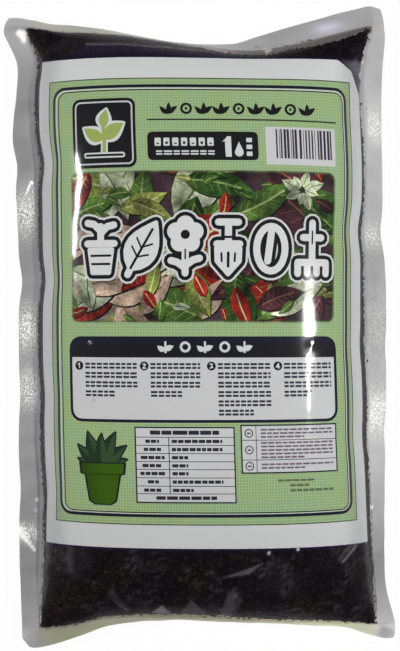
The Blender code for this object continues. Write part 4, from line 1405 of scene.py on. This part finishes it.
a_lines = np.linspace(-1, 1, 251)
b_lines = soil_lines(0.0048, -0.69, 0.87, -1, 1, 0.016)
a, b = np.meshgrid(a_lines, b_lines, indexing="ij")
front_points, x, y = soil_front(a, b)
front_faces = grid_faces(*a.shape)
soil = make_piece("soil_front", front_points.reshape(-1, 3), front_faces, POTTING_SOIL)
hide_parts("potting_soil")
beyond_end = np.maximum(np.abs(y) - SHEET_LENGTH / 2, 0)
crease_x = (-80, -56, -47.4, -26.5, -4.4, 17.8, 40, 80)
crease_y = np.interp(x, crease_x, (100, 110, 115, 113.3, 112.4, 111.1, 107, 100))
under_crease = 0.55 * smooth_step(0.8, -0.8, y - crease_y) * (y > 0)
paint(soil, "shade", np.maximum(0.9 * np.exp(-((beyond_end / 1.3) ** 2)) * (np.abs(x) < 72), under_crease))

a, b = np.meshgrid(np.linspace(-1, 1, 121), np.linspace(-1, 1, 181), indexing="ij")
top_rim, x, y = soil_front(a, b)
across, along = places(x, y)
sink = back_shape(across, BACK_FLAT_ACROSS) * back_shape(along, BACK_FLAT_ALONG)
floor_z = SEAL_HEIGHT - (SEAL_HEIGHT - 0.6) * sink + 0.1 * waves(x, y, 5, 2, 33)
back_points = np.stack([x + dents(x, y), y, np.minimum(floor_z, top_rim[..., 2] - 0.05)], axis=-1)
rim_here = (np.abs(a) == 1) | (np.abs(b) == 1)
back_points[rim_here] = top_rim[rim_here]
back_faces = grid_faces(*a.shape)[:, ::-1]
make_piece("soil_back", back_points.reshape(-1, 3), back_faces, POTTING_SOIL)


# %% [markdown]
# ### Crumbs at the rim
#
# At its rim the soil falls apart into single crumbs. These are real solids, since they break up the
# outline. All of them are stretched and turned at once, in one array with a row for each crumb.

# %% Loose crumbs
def lumps(centres, sizes, own):
    """Lumpy twenty sided solids: an icosahedron, stretched, jittered and turned at random, per centre."""
    golden = (1 + 5**0.5) / 2
    corners = np.array([(-1, golden, 0), (1, golden, 0), (-1, -golden, 0), (1, -golden, 0),
                        (0, -1, golden), (0, 1, golden), (0, -1, -golden), (0, 1, -golden),
                        (golden, 0, -1), (golden, 0, 1), (-golden, 0, -1), (-golden, 0, 1)]) / 1.9
    faces = np.array([(0, 11, 5), (0, 5, 1), (0, 1, 7), (0, 7, 10), (0, 10, 11), (1, 5, 9), (5, 11, 4),
                      (11, 10, 2), (10, 7, 6), (7, 1, 8), (3, 9, 4), (3, 4, 2), (3, 2, 6), (3, 6, 8),
                      (3, 8, 9), (4, 9, 5), (2, 4, 11), (6, 2, 10), (8, 6, 7), (9, 8, 1)])
    count = len(centres)
    shape = corners * own.uniform(0.55, 1.3, (count, 1, 3)) * own.uniform(0.75, 1.2, (count, 12, 1))
    spin = np.linalg.qr(own.normal(size=(count, 3, 3)))[0]
    spin *= np.sign(np.linalg.det(spin))[:, None, None]
    points = centres[:, None] + sizes[:, None, None] * np.einsum("nij,nkj->nki", spin, shape)
    return points.reshape(-1, 3), (faces + 12 * np.arange(count)[:, None, None]).reshape(-1, 3)


def rim_crumbs(count, own):
    """Crumbs close to the soil's rim: most of them at it, fewer towards the seal, none on the sheet."""
    side = own.choice(4, count, p=(0.34, 0.28, 0.16, 0.22))
    run, inwards = own.uniform(-0.99, 0.99, count), own.normal(0.55, 0.38, count)
    u, v = np.where(side < 2, 0, run), np.where(side < 2, run, 0)
    u = np.where(side == 0, -1.0, np.where(side == 1, 1.0, u))
    v = np.where(side == 2, -1.0, np.where(side == 3, 1.0, v))
    x, y, _ = web_plan(u, v)
    gap = np.choose(side, gaps(x, y))
    shift = np.clip(inwards, 0.05, 1.6) * gap
    x = x + np.where(side == 0, shift, np.where(side == 1, -shift, 0))
    y = y + np.where(side == 2, shift, np.where(side == 3, -shift, 0))
    clear = (np.abs(places(x, y)[0]) > SHEET_SHARE + 0.012) | (np.abs(y) > SHEET_LENGTH / 2 + 1.2)
    x, y, count = x[clear], y[clear], int(clear.sum())
    sizes = own.gamma(3.0, 0.09, count)
    points = front_point(x, y)
    points[:, 2] -= sizes + 0.15
    return points, np.minimum(sizes, 0.8)


own = np.random.default_rng(41)
centres, sizes = rim_crumbs(1500, own)
points, faces = lumps(centres, sizes, own)
make_piece("soil_crumbs", points, faces, POTTING_SOIL, smooth=False)


# %% [markdown]
# ## Net
#
# A small net for the base of a pot lies between sheet and soil. It stays hidden there, so the packed
# solid keeps its shape and takes only a material: white thread with a fine twist.

# %% Net material
def net_material():
    """White polyester thread: a wave across it gives the twist in tone and bump."""
    material, tree = make_material("net_thread")
    place = tree.add("TexCoord", {}, "Object")
    twist = tree.add("TexWave", {"Vector": place, "Scale": 900, "Distortion": 2}, "Fac")
    tone = tree.span(twist, 0.0, 1.0, 0.5, 0.75)
    inputs = {"Base Color": tone, "Roughness": 0.6, "Normal": tree.bump(twist, 0.4, 0.0001)}
    tree.add("OutputMaterial", {0: tree.add("BsdfPrincipled", inputs)})
    return material


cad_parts["pot_net"].data.materials.clear()
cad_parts["pot_net"].data.materials.append(net_material())

# %% [markdown]
# ## Floor, light and camera
#
# The pack is shown on plain white. A white floor alone would turn grey under it, so the floor glows by
# itself for rays that come from the camera, and is a plain pale floor for all other light.

# %% Floor
FLOOR_WHITE, FLOOR_GLOW = (0.85, 0.85, 0.85, 1), 0.97


def stage_floor():
    """A plane of 6 m. Its glow is the larger part for rays from the camera, a mirror or a clear film."""
    material, tree = make_material("pale_floor")
    rays = tree.add("LightPath", {}).node.outputs
    seen = tree.maths("MAXIMUM", rays["Is Camera Ray"], rays["Is Glossy Ray"])
    share = tree.maths("MULTIPLY", tree.maths("MAXIMUM", seen, rays["Is Transmission Ray"]), FLOOR_GLOW)
    plain = tree.add("BsdfDiffuse", {0: FLOOR_WHITE})
    tree.add("OutputMaterial", {0: tree.blend(share, plain, tree.add("Emission", {}))})
    mesh = bpy.data.meshes.new("floor")
    mesh.from_pydata([(-3, -3, 0), (3, -3, 0), (3, 3, 0), (-3, 3, 0)], [], [(0, 1, 2, 3)])
    mesh.materials.append(material)
    floor = bpy.data.objects.new("floor", mesh)
    bpy.context.scene.collection.objects.link(floor)


stage_floor()
print("floor glows with", FLOOR_GLOW, "of its white")

# %% [markdown]
# ### Room
#
# The film mirrors the room. It is bright low down, which lights the sides of the pack and the hanging
# seals, and dark overhead, which keeps the film over the print clear. It is dimmer towards the two ends.

# %% Room
world = bpy.data.worlds.new("soft room")
bpy.context.scene.world = world
world.use_nodes = True
tree = Tree(world.node_tree)
ways = tree.add("SeparateXYZ", {0: tree.add("TexCoord", {}, "Generated")}).node.outputs
ROOM_TONES = ((0.12, (2.0, 2.0, 2.0)), (0.30, (0.40, 0.40, 0.40)), (0.60, (0.05, 0.05, 0.053)))
room = tree.ramp(ways["Z"], ROOM_TONES)
dimmer = tree.span(tree.maths("ABSOLUTE", ways["Y"]), 0.3, 0.8, 1.0, 0.3)
camera_ray = tree.add("LightPath", {}, "Is Camera Ray")
background = world.node_tree.nodes["Background"].inputs
world.node_tree.links.new(tree.mix(camera_ray, room, (1, 1, 1, 1)), background["Color"])
world.node_tree.links.new(tree.mix(camera_ray, dimmer, 1.0, kind="FLOAT"), background["Strength"])


# %% [markdown]
# ### Lamps and camera
#
# Each long glint is the mirror image of a lamp in the curved film. So the lamps stand where the mirror's
# law puts them, narrow and bright, one to the left and two to the right. The camera looks straight down
# from 45 cm, near enough to show the pack's thickness at its edges.

# %% Lamps
def area_lamp(name, radiance, length, width, place, long_way, aim=(0, 0, 0.03)):
    """A rectangular lamp whose face shows a given radiance: its power is pi times area times that.
    Its long side runs along long_way, and its face looks at aim."""
    light = bpy.data.lights.new(name, "AREA")
    light.shape = "RECTANGLE"
    light.size, light.size_y = length, width
    light.energy = radiance * math.pi * length * width
    lamp = bpy.data.objects.new(name, light)
    bpy.context.scene.collection.objects.link(lamp)
    back = (Vector(place) - Vector(aim)).normalized()
    along = Vector(long_way)
    along = (along - along.dot(back) * back).normalized()
    lamp.matrix_world = Matrix((along, back.cross(along), back)).transposed().to_4x4()
    lamp.location = place
    return lamp


area_lamp("left lamp", 540.0, 0.205, 0.022, (-0.897, 0.205, 0.83), (0.7, 0.7, 0))
area_lamp("right lamp", 600.0, 0.06, 0.066, (0.62, 0.010, 0.83), (0, 1, 0))
area_lamp("low right lamp", 60.0, 0.10, 0.03, (0.60, -0.072, 0.83), (0, 1, 0))
print("lamps", [item.name for item in bpy.data.lights])

# %% Camera
camera = bpy.data.objects.new("camera", bpy.data.cameras.new("camera"))
bpy.context.scene.collection.objects.link(camera)
camera.location = (0, 0.00104, 0.45)
camera.data.sensor_width = 36
camera.data.lens = 53.4
camera.data.clip_start = 0.01
bpy.context.scene.camera = camera
bpy.context.scene.view_settings.view_transform = "Standard"
print("width in view at the floor", round(36 / 53.4 * 0.45, 3), "m")
